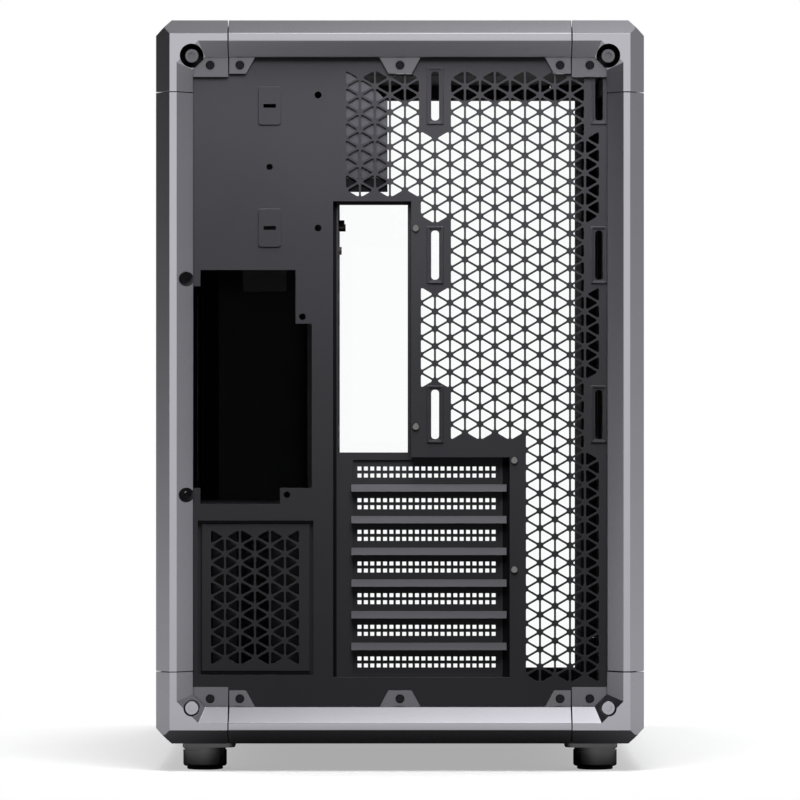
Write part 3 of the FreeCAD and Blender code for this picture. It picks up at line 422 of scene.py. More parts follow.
def woven_mesh(name, base):
    """Woven nylon: two sets of threads that cross, dull, with a soft sheen."""
    material, tree = start_material(name)
    place = add_node(tree, "ShaderNodeTexCoord")
    # The real threads are 0.4 mm apart; they are drawn 1.2 mm apart so that they show.
    pitch = 1.2 * MM
    warp = add_node(tree, "ShaderNodeTexWave", {"Scale": 1 / (pitch * 3.2)},
                    {"Vector": place.outputs["Object"]}, bands_direction="X")
    weft = add_node(tree, "ShaderNodeTexWave", {"Scale": 1 / (pitch * 3.2)},
                    {"Vector": place.outputs["Object"]}, bands_direction="Y")
    threads = add_node(tree, "ShaderNodeMath", None,
                       {0: warp.outputs["Fac"], 1: weft.outputs["Fac"]}, operation="MAXIMUM")
    tint = add_node(tree, "ShaderNodeMix", {"A": [c * 0.35 for c in base] + [1.0], "B": [*base, 1.0]},
                    {"Factor": threads.outputs["Value"]}, data_type="RGBA")
    bump = add_node(tree, "ShaderNodeBump", {"Strength": 0.6, "Distance": 0.3 * MM},
                    {"Height": threads.outputs["Value"]})
    shader = add_node(tree, "ShaderNodeBsdfPrincipled", {"Roughness": 0.65},
                      {"Base Color": tint.outputs["Result"], "Normal": bump.outputs["Normal"]})
    add_node(tree, "ShaderNodeOutputMaterial", None, {"Surface": shader.outputs["BSDF"]})
    return material


def finishes():
    """Every finish of the case by the record's slot, made on the first call.

    After the colour come metallic, roughness, grain, bump depth, mottle, spread, specular level and coat.
    """
    colours = bpy.context.scene.case_colours
    made = {}

    def finish(slot, maker, name, *values):
        made[slot] = bpy.data.materials.get(name) or maker(name, *values)

    # Bead-blasted and anodised: a satin metal with an even, very fine grain. Beads leave 0.1 mm
    # dimples, drawn at 0.6 mm so that they show.
    finish("frame_aluminium", grained, "anodised_aluminium", colours.aluminium, 1.0, 0.28, 0.6, 0.006, 45,
           0.03)
    # The castings' tabs and bolt seats are blasted with coarser grit: darker and duller.
    finish("tab_aluminium", grained, "blasted_aluminium", colours.tabs, 1.0, 0.55, 0.8, 0.03, 30, 0.06)
    # The upright bar between the glass and the cover: the same extrusion dyed black.
    finish("mullion_aluminium", grained, "black_anodised_aluminium", colours.steel, 0.6, 0.42, 0.6, 0.02, 45,
           0.08)
    # Powder coat: cured paint with a shallow orange peel about 2 mm wide, satin, uneven by a few percent.
    finish("panel_steel", grained, "powder_coated_steel", colours.steel, 0.0, 0.55, 1.8, 0.05, 60, 0.10, 0.12)
    # Lighter grey of the same coat, used as painted light: a painted highlight on the dividers' up-facing
    # faces, and a lift for the tray flange that lies in the panel's shade.
    finish("grey_steel_as_painted_light", grained, "grey_powder_coated_steel", colours.slots, 0.0, 0.55, 1.8, 0.05, 60, 0.10,
           0.12)
    # The same coat in matt black for the steel inside the case. It is partly the real coat and partly painted
    # shade, and it is also put on frame faces, recess walls and bolt pockets that look into the case, so that
    # the inside stays dark even along its walls.
    finish("black_steel_and_painted_shade", grained, "black_powder_coated_steel", colours.black_steel_and_painted_shade, 0.0, 0.7, 1.8, 0.05, 60,
           0.10, 0.02)
    # Moulded ABS: spark-eroded texture 0.7 mm wide, dull.
    finish("moulded_plastic", grained, "moulded_abs", colours.plastic, 0.0, 0.5, 0.7, 0.04, 25, 0.12)
    # Moulded nylon from a polished tool: the glossy skin shows the studio as upright streaks on the feet.
    finish("foot_black", grained, "moulded_nylon", colours.plastic, 0.0, 0.18, 0.7, 0.01, 25, 0.12, 1.0, 1.0)
    # Moulded rubber: no gloss, dust-grey patches.
    finish("pad_rubber", grained, "moulded_rubber", colours.rubber, 0.0, 0.82, 0.9, 0.08, 12, 0.25, 0.3)
    # Black zinc over steel: dark metal, slightly uneven passivation.
    finish("screw_steel", grained, "black_zinc_steel", colours.screws, 1.0, 0.34, 0.5, 0.01, 4, 0.15)
    # Clear zinc over steel: brighter, for the four bolts in the corners.
    finish("bolt_steel", grained, "clear_zinc_steel", colours.bolts, 1.0, 0.36, 0.5, 0.01, 4, 0.12)
    # Bare aluminium, drawn and then set: dull, faintly scuffed.
    finish("rivet_aluminium", grained, "bare_aluminium", colours.rivets, 1.0, 0.4, 0.5, 0.02, 4, 0.1)
    # Turned brass under black nickel: dark, smooth, slightly warm.
    finish("standoff_brass", grained, "black_nickelled_brass", colours.brass, 1.0, 0.3, 0.5, 0.01, 4, 0.12)
    # Nickel plate on drawn steel: bright, lightly scuffed.
    finish("socket_steel", grained, "nickel_plated_steel", colours.nickel, 1.0, 0.24, 0.8, 0.01, 6, 0.06)
    # Glass-fibre laminate under solder mask: semi-gloss with the weave just showing.
    finish("circuit_board", grained, "solder_masked_laminate", colours.board, 0.0, 0.35, 1.0, 0.02, 8, 0.15)
    # Ceramic enamel fired on the glass: black, glossy through the pane.
    finish("enamel", grained, "fired_enamel", colours.enamel, 0.0, 0.3, 1.0, 0.005, 30, 0.1)
    finish("clear_glass", clear_glass, "float_glass")
    finish("filter_mesh", woven_mesh, "woven_nylon", colours.mesh)
    return made


def case_span(axis, side, start, stop):
    """Coordinates between two insets from one outer plane of the case."""
    if side == 0:
        return CASE_LOW[axis] + start, CASE_LOW[axis] + stop
    return CASE_HIGH[axis] - stop, CASE_HIGH[axis] - start


def span_cube(name, spans):
    """Cube from three pairs of coordinates."""
    return cube(name, [pair[0] for pair in spans], [pair[1] for pair in spans])


def face_cutter(face, inset, steps, corner=0.0):
    """Stepped block for one face of the frame: a plane cut at its corners, sunk by insets and depths."""
    across, up = (Vector(axis) for axis in FACE_AXES[face])
    out = across.cross(up)
    middle, half = (CASE_LOW + CASE_HIGH) / 2, (CASE_HIGH - CASE_LOW) / 2
    extent = [2 * (abs(half.dot(axis)) - inset) * MM for axis in (across, up)]
    bpy.ops.mesh.primitive_plane_add(size=1, location=(0, 0, PAST * MM), rotation=(math.pi, 0, 0))
    bpy.context.object.scale = (*extent, 1)
    cutter = settle("face_cutter")
    pick(cutter, "VERT", lambda vertex: True)
    if corner:
        bpy.ops.mesh.bevel(offset=corner * MM, segments=1, affect="VERTICES")
    bpy.ops.mesh.select_mode(type="FACE")
    bpy.ops.mesh.select_all(action="SELECT")
    bpy.ops.mesh.extrude_region_move(TRANSFORM_OT_translate={"value": (0, 0, -PAST * MM)})
    for slope, depth in steps:
        if slope:
            bpy.ops.mesh.inset(thickness=slope * MM, depth=depth * MM)
        else:
            bpy.ops.mesh.extrude_region_move(TRANSFORM_OT_translate={"value": (0, 0, -depth * MM)})
    shape_done(cutter)
    turn = Matrix((across, up, out)).transposed().to_4x4()
    reach = Vector([abs(n) for n in out]) * half
    cutter.matrix_world = Matrix.Translation((middle + out * reach.length) * MM) @ turn
    return settle("face_cutter")


def frame_blank(sizes):
    """The whole frame in one block: chamfered outside, hollow, with its six face openings."""
    rim_edge = (sizes.edge_chamfer + sizes.rim) / MM
    width, lip = sizes.ledge_width / MM, sizes.lip_bevel / MM
    rear_leg, panel_leg, ledge = sizes.rear_leg / MM, sizes.panel_leg / MM, sizes.ledge_depth / MM
    blank = cube("frame_blank", CASE_LOW, CASE_HIGH)
    pick(blank, "EDGE", lambda edge: True)
    bpy.ops.mesh.bevel(offset=sizes.edge_chamfer, segments=1, affect="EDGES")
    for corner, way in ((CASE_LOW, (-1, -1, 0)), (CASE_LOW, (0, -1, -1)),
                        (CASE_HIGH, (1, -1, 0)), (CASE_HIGH, (0, -1, 1))):
        edge = Vector((corner.x, CASE_LOW.y, corner.z)) * MM + Vector((0, sizes.rear_chamfer, 0))
        bpy.ops.mesh.select_all(action="SELECT")
        bpy.ops.mesh.bisect(plane_co=edge, plane_no=way, use_fill=True, clear_outer=True)
    shape_done(blank)
    low = CASE_LOW + Vector((panel_leg, rear_leg, panel_leg))
    high = CASE_HIGH - Vector((panel_leg, panel_leg, panel_leg))
    boolean(blank, "DIFFERENCE", cube("cavity", low, high))
    rear_edge = (sizes.rear_chamfer + sizes.rear_rim) / MM
    slope = rim_edge + width - rear_edge
    facet = sizes.corner_facet / MM + slope * (2 - math.sqrt(2))
    boolean(blank, "DIFFERENCE", face_cutter("rear", rear_edge, [(slope, slope), (0, rear_leg)], facet))
    boolean(blank, "DIFFERENCE", face_cutter("bottom", rim_edge + width, [(0, panel_leg + 1)]))
    for face in ("front", "left", "right", "top"):
        steps = [(lip, lip), (0, ledge - lip), (width - lip, 0), (0, panel_leg)]
        boolean(blank, "DIFFERENCE", face_cutter(face, rim_edge, steps))
    return blank


def bar_name(axis, sides):
    """Name of a bar from its direction and the two planes that it lies on."""
    words = [SIDES[i][sides[i]] for i in range(3) if i != axis]
    return ("frame_rail_", "frame_beam_", "frame_post_")[axis] + "_".join(words)


TAB = 2.2
RAIL_TAB = 18.0
TAB_HEIGHT = 10.5
TAB_RUN = 7.0
MIDDLE_TAB = 29.0
CORNER_TAB = 12.5
BOLT_INSET = 23.0
POCKETS = (5.1, 7.4)
POCKET_DEPTH = 12.0
SCALLOP = 4.7
INWARD_SHADE_DEPTH = 9.5


def tab_cube(side_z, x0, x1, border, height):
    """Flat screw tab in front of the rear panel, standing on a rear rail."""
    z = case_span(2, side_z, border - TAB, border + height)
    return cube("tab", (x0, PANEL_OUT - TAB, z[0]), (x1, PANEL_OUT, z[1]))


def slant(tab, side_z, end, run):
    """Slants one end of a tab towards its free edge."""
    free = max if side_z == 0 else min
    level = free(vertex.co.z for vertex in tab.data.vertices)
    last = (max if end > 0 else min)(vertex.co.x for vertex in tab.data.vertices)
    pick(tab, "VERT", lambda v: abs(v.co.z - level) < MM / 10 and abs(v.co.x - last) < MM / 10)
    bpy.ops.transform.translate(value=(-end * run * MM, 0, 0))
    return shape_done(tab)


def rail_tabs(side_z, sizes):
    """Three tabs on a rear rail: one at each end and one in the middle."""
    border = (sizes.edge_chamfer + sizes.rim + sizes.ledge_width) / MM
    start = (sizes.corner_reach + sizes.seam) / MM
    left = CASE_LOW.x + start
    right = CASE_HIGH.x - start
    half = MIDDLE_TAB / 2
    ends = [slant(tab_cube(side_z, left, left + RAIL_TAB, border, TAB_HEIGHT), side_z, 1, TAB_RUN),
            slant(tab_cube(side_z, right - RAIL_TAB, right, border, TAB_HEIGHT), side_z, -1, TAB_RUN)]
    middle = slant(tab_cube(side_z, -half, half, border, TAB_HEIGHT), side_z, 1, TAB_RUN)
    return ends + [slant(middle, side_z, -1, TAB_RUN)]


def paint(obj, finish, test):
    """Gives the faces of a piece that pass a test another finish."""
    obj.data.materials.append(finish)
    pick(obj, "FACE", test)
    obj.active_material_index = len(obj.data.materials) - 1
    bpy.ops.object.material_slot_assign()
    bpy.ops.object.mode_set(mode="OBJECT")
    return obj


def shade_inward_faces(piece):
    """Painted shade: black on the faces of a frame piece that look into the case, where shade falls; coarse
    grit on its tabs.
    """
    middle = (CASE_LOW + CASE_HIGH) / 2

    def depth(point):
        return min(min(point[i] - CASE_LOW[i], CASE_HIGH[i] - point[i]) for i in range(3))

    def faces_inward(face):
        point = face.calc_center_median() / MM
        return depth(point) > INWARD_SHADE_DEPTH and point.y > PANEL_OUT and face.normal.dot(middle - point) > 0

    def tab(face):
        point = face.calc_center_median() / MM
        return abs(point.y - PANEL_OUT + TAB) < 0.6 and face.normal.y < -0.5

    # Painted shade: the black coat stands for the shade on the inward faces of the aluminium frame.
    paint(piece, finishes()["black_steel_and_painted_shade"], faces_inward)
    return paint(piece, finishes()["tab_aluminium"], tab)


class CASE_OT_frame_bars(bpy.types.Operator):
    """Twelve extruded bars with chamfers, rebates and screw tabs, and eight cast corners"""

    bl_idname = "case.frame_bars"
    bl_label = "Frame"

    def execute(self, context):
        sizes = context.scene.case_sizes
        blank = frame_blank(sizes)
        border = (sizes.edge_chamfer + sizes.rim + sizes.ledge_width) / MM
        reach, seam = sizes.corner_reach / MM, sizes.seam / MM
        finish = finishes()["frame_aluminium"]
        for axis in range(3):
            first, second = [i for i in range(3) if i != axis]
            for side_a in (0, 1):
                for side_b in (0, 1):
                    sides = {first: side_a, second: side_b}
                    spans = [None] * 3
                    spans[axis] = (CASE_LOW[axis] + reach + seam, CASE_HIGH[axis] - reach - seam)
                    for i, side in sides.items():
                        spans[i] = case_span(i, side, 0, border)
                    name = bar_name(axis, sides)
                    bar = boolean(copy(blank, name + "_bar"), "INTERSECT", span_cube("run", spans))
                    if name.startswith("frame_rail_rear"):
                        boolean(bar, "UNION", *rail_tabs(sides[2], sizes))
                    if name == "frame_post_left_rear":
                        scallops = [rod("scallop", (x, CASE_LOW.y, z), "Y", SCALLOP, 60)
                                    for x, z in SUPPLY_HOLES[:2]]
                        boolean(bar, "DIFFERENCE", *scallops)
                    soften(bar, sizes.edge_break / MM)
                    dress(bar, finish, "case", "frame_aluminium", name)
                    shade_inward_faces(bar)
        self.corners(blank, sizes, border, reach, finish)
        bpy.data.objects.remove(blank)
        return {"FINISHED"}

    def corners(self, blank, sizes, border, reach, finish):
        """Castings that join three bars each."""
        cut = sizes.corner_cut / MM
        for side_x in (0, 1):
            for side_y in (0, 1):
                for side_z in (0, 1):
                    sides = (side_x, side_y, side_z)
                    name = "frame_corner_" + "_".join(SIDES[i][sides[i]] for i in (1, 2, 0))
                    spans = [case_span(i, sides[i], 0, reach) for i in range(3)]
                    corner = boolean(copy(blank, name + "_casting"), "INTERSECT", span_cube("reach", spans))
                    if side_z == 0:
                        pad = [case_span(i, sides[i], border - SHEET, reach) for i in (0, 1)]
                        boolean(corner, "UNION", span_cube("pad", [*pad, case_span(2, 0, 0, 4)]))
                    if side_y == 0:
                        x = case_span(0, side_x, border - TAB, reach)
                        boolean(corner, "UNION", tab_cube(side_z, *x, border, CORNER_TAB))
                        x, z = [case_span(i, sides[i], BOLT_INSET, BOLT_INSET)[0] for i in (0, 2)]
                        pocket = rod("pocket", (x, CASE_LOW.y, z), "Y", POCKETS[side_z], 2 * POCKET_DEPTH)
                        boolean(corner, "DIFFERENCE", pocket)
                    self.cut_corner(corner, sides, cut)
                    soften(corner, sizes.edge_break / MM)
                    dress(corner, finish, "case", "frame_aluminium", name)
                    shade_inward_faces(corner)
                    if side_y == 0 and side_z == 1:
                        self.shade_pocket(corner, Vector((x, 0, z)))

    def shade_pocket(self, corner, axis):
        """Painted shade: black inside the pocket of an upper corner bolt, where shade falls; the lower ones
        stay bare and catch the light.
        """
        def inside(face):
            reach = [math.hypot(v.co.x / MM - axis.x, v.co.z / MM - axis.z) for v in face.verts]
            return max(reach) < POCKETS[1] + 0.1

        paint(corner, finishes()["black_steel_and_painted_shade"], inside)

    def cut_corner(self, corner, sides, cut):
        """Cuts the outer corner of a casting across, seen from the rear."""
        signs = [2 * side - 1 for side in sides]
        outer = Vector([case_span(i, sides[i], 0, 0)[0] for i in range(3)])
        point = outer - Vector((signs[0] * cut, 0, 0))
        pick(corner, "FACE", lambda face: True)
        bpy.ops.mesh.bisect(plane_co=point * MM, plane_no=(signs[0], 0, signs[2]), use_fill=True,
                            clear_outer=True)
        shape_done(corner)


def vent_cutter(sizes, zones, lands, front, depth):
    """Prisms for the triangular holes: whole triangles inside the zones and clear of the lands."""
    pitch, bar, corner = sizes.vent_pitch / MM, sizes.vent_bar / MM, sizes.vent_round / MM
    column = pitch * math.sqrt(3) / 2
    circle = pitch / math.sqrt(3) - bar
    node_x, node_z = 22.4, 382.7
    left = node_x - 2 * column * math.ceil((node_x - min(z[0] for z in zones)) / (2 * column))
    low = node_z - pitch * math.ceil((node_z - min(z[2] for z in zones)) / pitch)
    triangles = []
    for x, z, turn in ((column / 3, pitch / 2, 1), (column * 2 / 3, 0, -1),
                       (column * 4 / 3, 0, 1), (column * 5 / 3, pitch / 2, -1)):
        bpy.ops.mesh.primitive_circle_add(vertices=3, radius=circle * MM, fill_type="NGON",
                                          location=Vector((left + x, front, low + z)) * MM,
                                          rotation=(math.pi / 2, turn * math.pi / 2, 0))
        triangle = settle("triangle")
        pick(triangle, "VERT", lambda vertex: True)
        bpy.ops.mesh.bevel(offset=corner * math.sqrt(3) * MM, segments=2, affect="VERTICES")
        bpy.ops.mesh.select_mode(type="FACE")
        bpy.ops.mesh.select_all(action="SELECT")
        bpy.ops.mesh.extrude_region_move(TRANSFORM_OT_translate={"value": (0, depth * MM, 0)})
        triangles.append(shape_done(triangle))
    cutter = join("vent_cutter", triangles)
    repeat(cutter, (0, 0, pitch), math.ceil((max(z[3] for z in zones) - low) / pitch) + 1)
    repeat(cutter, (2 * column, 0, 0), math.ceil((max(z[1] for z in zones) - left) / (2 * column)) + 1)

    def inside(vertex, box):
        x, z = vertex.co.x / MM, vertex.co.z / MM
        return box[0] <= x <= box[1] and box[2] <= z <= box[3]

    def kept(face):
        if abs(face.normal.y) < 0.9:
            return False
        whole = any(all(inside(v, zone) for v in face.verts) for zone in zones)
        return whole and not any(inside(v, land) for v in face.verts for land in lands)

    pick(cutter, "FACE", kept)
    bpy.ops.mesh.select_linked()
    bpy.ops.mesh.select_all(action="INVERT")
    bpy.ops.mesh.delete(type="FACE")
    return shape_done(cutter)


def sheet_cube(name, x0, x1, z0, z1, front=PANEL_OUT - PAST, back=PANEL_IN + 2 * PAST):
    """Upright block from limits seen from the rear."""
    return cube(name, (x0, front, z0), (x1, back, z1))


FAN_COLUMNS = (22.5, 127.5)
FAN_LEVELS = (432.0, 330.0, 228.0)
LOCK_PADS = ((-83.5, 425.6), (-83.5, 347.4))
SMALL_HOLES = ((-52.5, 432.6, 2.25), (-52.5, 347.4, 2.25), (-83.5, 386.5, 2.0))
SUPPLY_HOLES = ((-136.5, 176.5), (-136.5, 314.5), (-72.5, 176.5), (-62.5, 290.5))
SUPPLY_OPENING = ((-127.9, -76.9, 170.5, 320.5), (-135.5, -56.5, 180.9, 286.1),
                  (-135.5, -66.9, 280.0, 310.1), (-127.9, -66.9, 300.0, 320.5))
RECESS = ((-42.9, 7.15, 190.0, 364.5), (-42.9, 70.3, 59.43, 200.55))
DRIVE = (-129.5, -55.5, 61.0, 160.0)
IO_OPENING = (-39.5, 4.95, 203.55, 362.3)
VENT_ZONES = ((-35.0, 132.5, 367.5, 451.5), (12.95, 132.5, 207.0, 451.5), (79.3, 132.5, 53.0, 451.5))


class CASE_OT_rear_panel(bpy.types.Operator):
    """Rear sheet: triangular vent, fan slots in raised frames, lock pads and openings"""

    bl_idname = "case.rear_panel"
    bl_label = "Rear panel"

    def execute(self, context):
        sizes = context.scene.case_sizes
        low, high = node_box("rear_panel")
        panel = cube("rear_panel_sheet", (low.x, PANEL_OUT, low.z), (high.x, PANEL_IN, high.z))
        width, run = sizes.fan_slot_width / MM, sizes.fan_slot_length / MM
        lands, raised, cutters = [], [], []
        for x in FAN_COLUMNS:
            for z in FAN_LEVELS:
                lands.append((x - 7.5, x + 7.5, z - run / 2 - 4, z + run / 2 + 4))
                raised.append(self.raised_frame(x, z, width / 2 + 3, run / 2 + 2.8))
                slot = sheet_cube("slot", x - width / 2, x + width / 2, z - run / 2, z + run / 2)
                cutters.append(round_edges(slot, width * 0.42, along(1), 5))
        for x, z in LOCK_PADS:
            raised.append(self.lock_pad(x, z))
            cutters.append(sheet_cube("key_slot", x - 4, x + 4, z - 1.25, z + 1.25))
        boolean(panel, "UNION", *raised)
        cutters.append(vent_cutter(sizes, VENT_ZONES, lands, PANEL_OUT - PAST, SHEET + 2 * PAST))
        cutters += [sheet_cube("opening", *limits) for limits in (*SUPPLY_OPENING, *RECESS, DRIVE)]
        cutters += [rod("hole", (x, PANEL_OUT, z), "Y", 2.1, 10, 20) for x, z in SUPPLY_HOLES]
        cutters += [rod("hole", (x, PANEL_OUT, z), "Y", radius, 10, 20) for x, z, radius in SMALL_HOLES]
        boolean(panel, "DIFFERENCE", *cutters)
        dress(panel, finishes()["panel_steel"], "case", "panel_steel", "rear_panel")
        return {"FINISHED"}

    def raised_frame(self, x, z, half_width, half_height):
        """Pressed frame round a fan slot: a raised field with sloped sides."""
        field = sheet_cube("raised_frame", x - half_width, x + half_width, z - half_height, z + half_height,
                           PANEL_OUT - 0.7, PANEL_OUT + 0.5)
        pick(field, "FACE", facing(1, -1))
        bpy.ops.mesh.inset(thickness=1.5 * MM)
        bpy.ops.mesh.inset(thickness=0.8 * MM, depth=-0.6 * MM)
        shape_done(field)
        return round_edges(field, 0.6, lambda e: all(v.co.y < (PANEL_OUT - 0.6) * MM for v in e.verts), 1)

    def lock_pad(self, x, z):
        """Formed pad with a bevelled edge."""
        pad = sheet_cube("lock_pad", x - 7.5, x + 7.5, z - 12.5, z + 12.5, PANEL_OUT - 0.7, PANEL_OUT + 0.5)
        round_edges(pad, 2.0, along(1), 3)
        return round_edges(pad, 0.5, lambda e: all(v.co.y < (PANEL_OUT - 0.6) * MM for v in e.verts), 1)


SLOT_LEFT, SLOT_RIGHT = -30.2, 64.3
PLATE_OUT = PANEL_IN + 4.0
PLATE_IN = PLATE_OUT + SHEET


def slot_levels():
    """Heights of the expansion slots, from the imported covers."""
    boxes = [node_box(f"slot_cover_{i + 1}") for i in range(7)]
    return [(low.z + high.z) / 2 for low, high in boxes]


class CASE_OT_slot_bracket(bpy.types.Operator):
    """Recessed bracket for the input/output opening and the expansion slots, with raised dividers"""

    bl_idname = "case.slot_bracket"
    bl_label = "Slot bracket"

    def execute(self, context):
        sizes = context.scene.case_sizes
        rise, depth = sizes.divider / MM, 3.4
        levels = slot_levels()
        wall = [(x0 - SHEET, x1 + SHEET, z0 - SHEET, z1 + SHEET) for x0, x1, z0, z1 in RECESS]
        bracket, upper = [sheet_cube("slot_bracket_plate", *limits, PANEL_IN, PLATE_IN)
                          for limits in reversed(wall)]
        boolean(bracket, "UNION", upper)
        recesses = [sheet_cube("recess", *limits, PANEL_OUT, PLATE_OUT) for limits in RECESS]
        boolean(bracket, "DIFFERENCE", *recesses)
        flange = sheet_cube("flange", 7.15, 12.65, 206.0, 366.0, PANEL_IN, PANEL_IN + SHEET)
        side = sheet_cube("flange", 70.3, 75.8, 57.0, 206.0, PANEL_IN, PANEL_IN + SHEET)
        rail = cube("rail", (67.5, PLATE_OUT, 59.43), (68.5, PLATE_IN + 12, 200.55))
        boolean(bracket, "UNION", flange, side, rail)
        windows = [sheet_cube("window", SLOT_LEFT, SLOT_RIGHT, z - 7.8, z + 7.8) for z in levels]
        boolean(bracket, "DIFFERENCE", *windows, sheet_cube("io", *IO_OPENING))
        dividers = [self.divider((a + b) / 2, rise, depth) for a, b in zip(levels, levels[1:])]
        boolean(bracket, "UNION", *dividers)
        soften(bracket, 0.2, 1)
        dress(bracket, finishes()["panel_steel"], "case", "panel_steel", "slot_bracket")
        self.paint_shade_and_highlight(bracket)
        self.covers(sizes, levels)
        return {"FINISHED"}

    def divider(self, z, rise, depth):
        """Lip between two slots that leans out towards its lower edge and so catches light from above."""
        bar = sheet_cube("divider", SLOT_LEFT - 1, SLOT_RIGHT + 4, z - rise / 2, z + rise / 2,
                         PLATE_OUT - depth, PLATE_OUT + 0.5)
        pick(bar, "VERT", lambda v: v.co.y < PLATE_OUT * MM and v.co.z > z * MM)
        bpy.ops.transform.translate(value=(0, (depth - 0.4) * MM, 0))
        return shape_done(bar)

    def paint_shade_and_highlight(self, bracket):
        """Painted shade: black on the walls of the recess and along its sides; painted highlight: lighter paint
        on the up-facing faces of the dividers.
        """
        for x in (RECESS[1][0] + 2.2, SLOT_RIGHT + 1.5):
            pick(bracket, "FACE", facing(1, -1))
            bpy.ops.mesh.bisect(plane_co=(x * MM, 0, 0), plane_no=(1, 0, 0))
            shape_done(bracket)

        def shaded(face):
            point = face.calc_center_median() / MM
            sides = not RECESS[1][0] + 2.2 < point.x < SLOT_RIGHT + 1.5
            return point.y < PLATE_OUT + 0.3 and (sides or abs(point.z - RECESS[0][3]) < 0.3)

        def lip(face):
            return face.normal.z > 0.3 and -0.95 < face.normal.y < -0.3

        # Painted shade: black on the plate's sides and its top band beside the recess.
        paint(bracket, finishes()["black_steel_and_painted_shade"], shaded)
        # Painted highlight: lighter grey on the up-facing faces of the dividers, where the light from above
        # falls.
        paint(bracket, finishes()["grey_steel_as_painted_light"], lip)

    def covers(self, sizes, levels):
        """Perforated covers, modelled once and copied down the slots."""
        low, high = node_box("slot_cover_1")
        hole, pitch, rows = sizes.cover_hole / MM, sizes.cover_pitch / MM, sizes.cover_rows / MM
        cover = cube("slot_cover", low, (high.x, low.y + SHEET, high.z))
        fold = cube("fold", (high.x - SHEET, low.y, low.z), high)
        round_edges(fold, 3.0, lambda e: along(0)(e) and e.verts[0].co.y > (high.y - 1) * MM)
        boolean(cover, "UNION", fold)
        columns = 22
        middle = (SLOT_LEFT + SLOT_RIGHT) / 2
        first = middle - (columns - 1) * pitch / 2
        z = levels[0]
        holes = sheet_cube("holes", first - hole / 2, first + hole / 2, z - rows / 2 - hole / 2,
                           z - rows / 2 + hole / 2, low.y - 1, low.y + 2)
        repeat(holes, (0, 0, rows), 2)
        repeat(holes, (pitch, 0, 0), columns)
        boolean(cover, "DIFFERENCE", holes)
        boolean(cover, "DIFFERENCE", rod("screw_hole", (high.x, low.y + 7, z), "X", 1.7, 6, 20))
        for i, level in enumerate(levels):
            node = f"slot_cover_{i + 1}"
            made = copy(cover, node + "_perforated", (0, 0, level - z))
            dress(made, finishes()["panel_steel"], "case", "panel_steel", node)
        bpy.data.objects.remove(cover)


class CASE_OT_drive_vent(bpy.types.Operator):
    """Recessed vent in front of the drive cage, with the same triangles as the rear panel"""

    bl_idname = "case.drive_vent"
    bl_label = "Drive vent"

    def execute(self, context):
        sizes = context.scene.case_sizes
        x0, x1, z0, z1 = DRIVE
        back = PANEL_IN + 3.0
        vent = sheet_cube("drive_vent_tray", x0 - 3, x1 + 3, z0 - 3, z1 + 3, PANEL_IN, PANEL_IN + SHEET)
        body = sheet_cube("tray_body", x0 - SHEET, x1 + SHEET, z0 - SHEET, z1 + SHEET, PANEL_IN, back)
        boolean(vent, "UNION", body)
        boolean(vent, "DIFFERENCE", sheet_cube("recess", x0, x1, z0, z1, PANEL_OUT, back - SHEET))
        inset = 2.2
        field = sheet_cube("field", x0 + inset, x1 - inset, z0 + inset, z1 - inset, PANEL_IN + 0.4,
                           back - SHEET + 0.5)
        edge = (PANEL_IN + 0.5) * MM
        boolean(vent, "UNION", round_edges(field, 0.5, lambda e: all(v.co.y < edge for v in e.verts), 1))
        zone = (x0 + 3, x1 - 3, z0 + 3, z1 - 3)
        boolean(vent, "DIFFERENCE", vent_cutter(sizes, [zone], [], PANEL_OUT, SHEET * 2 + PAST))
        dress(vent, finishes()["panel_steel"], "case", "panel_steel", "drive_vent")
        return {"FINISHED"}


def at_ends(axis, limit, sign):
    """Test for edges that lie past a level on one axis."""
    return lambda edge: all((v.co[axis] / MM - limit) * sign > 0 for v in edge.verts)


def cross_recess(head, centre, axis, size, depth):
    """Cuts a cross recess in a screw head that looks along an axis."""
    middle, level = Vector(centre), "XYZ".index(axis)
    for thin in range(3):
        if thin != level:
            half = Vector((size, size, size))
            half[thin], half[level] = size * 0.22, depth
            boolean(head, "DIFFERENCE", cube("cross", middle - half, middle + half))


SCREW_INSET = 28.5
SCREW_COLUMNS = (-121.5, -102.5, 0, 102.5, 121.5)
RIVETS = ((10.05, 347.3), (10.05, 220.15), (73.2, 198.55), (73.2, 128.55))


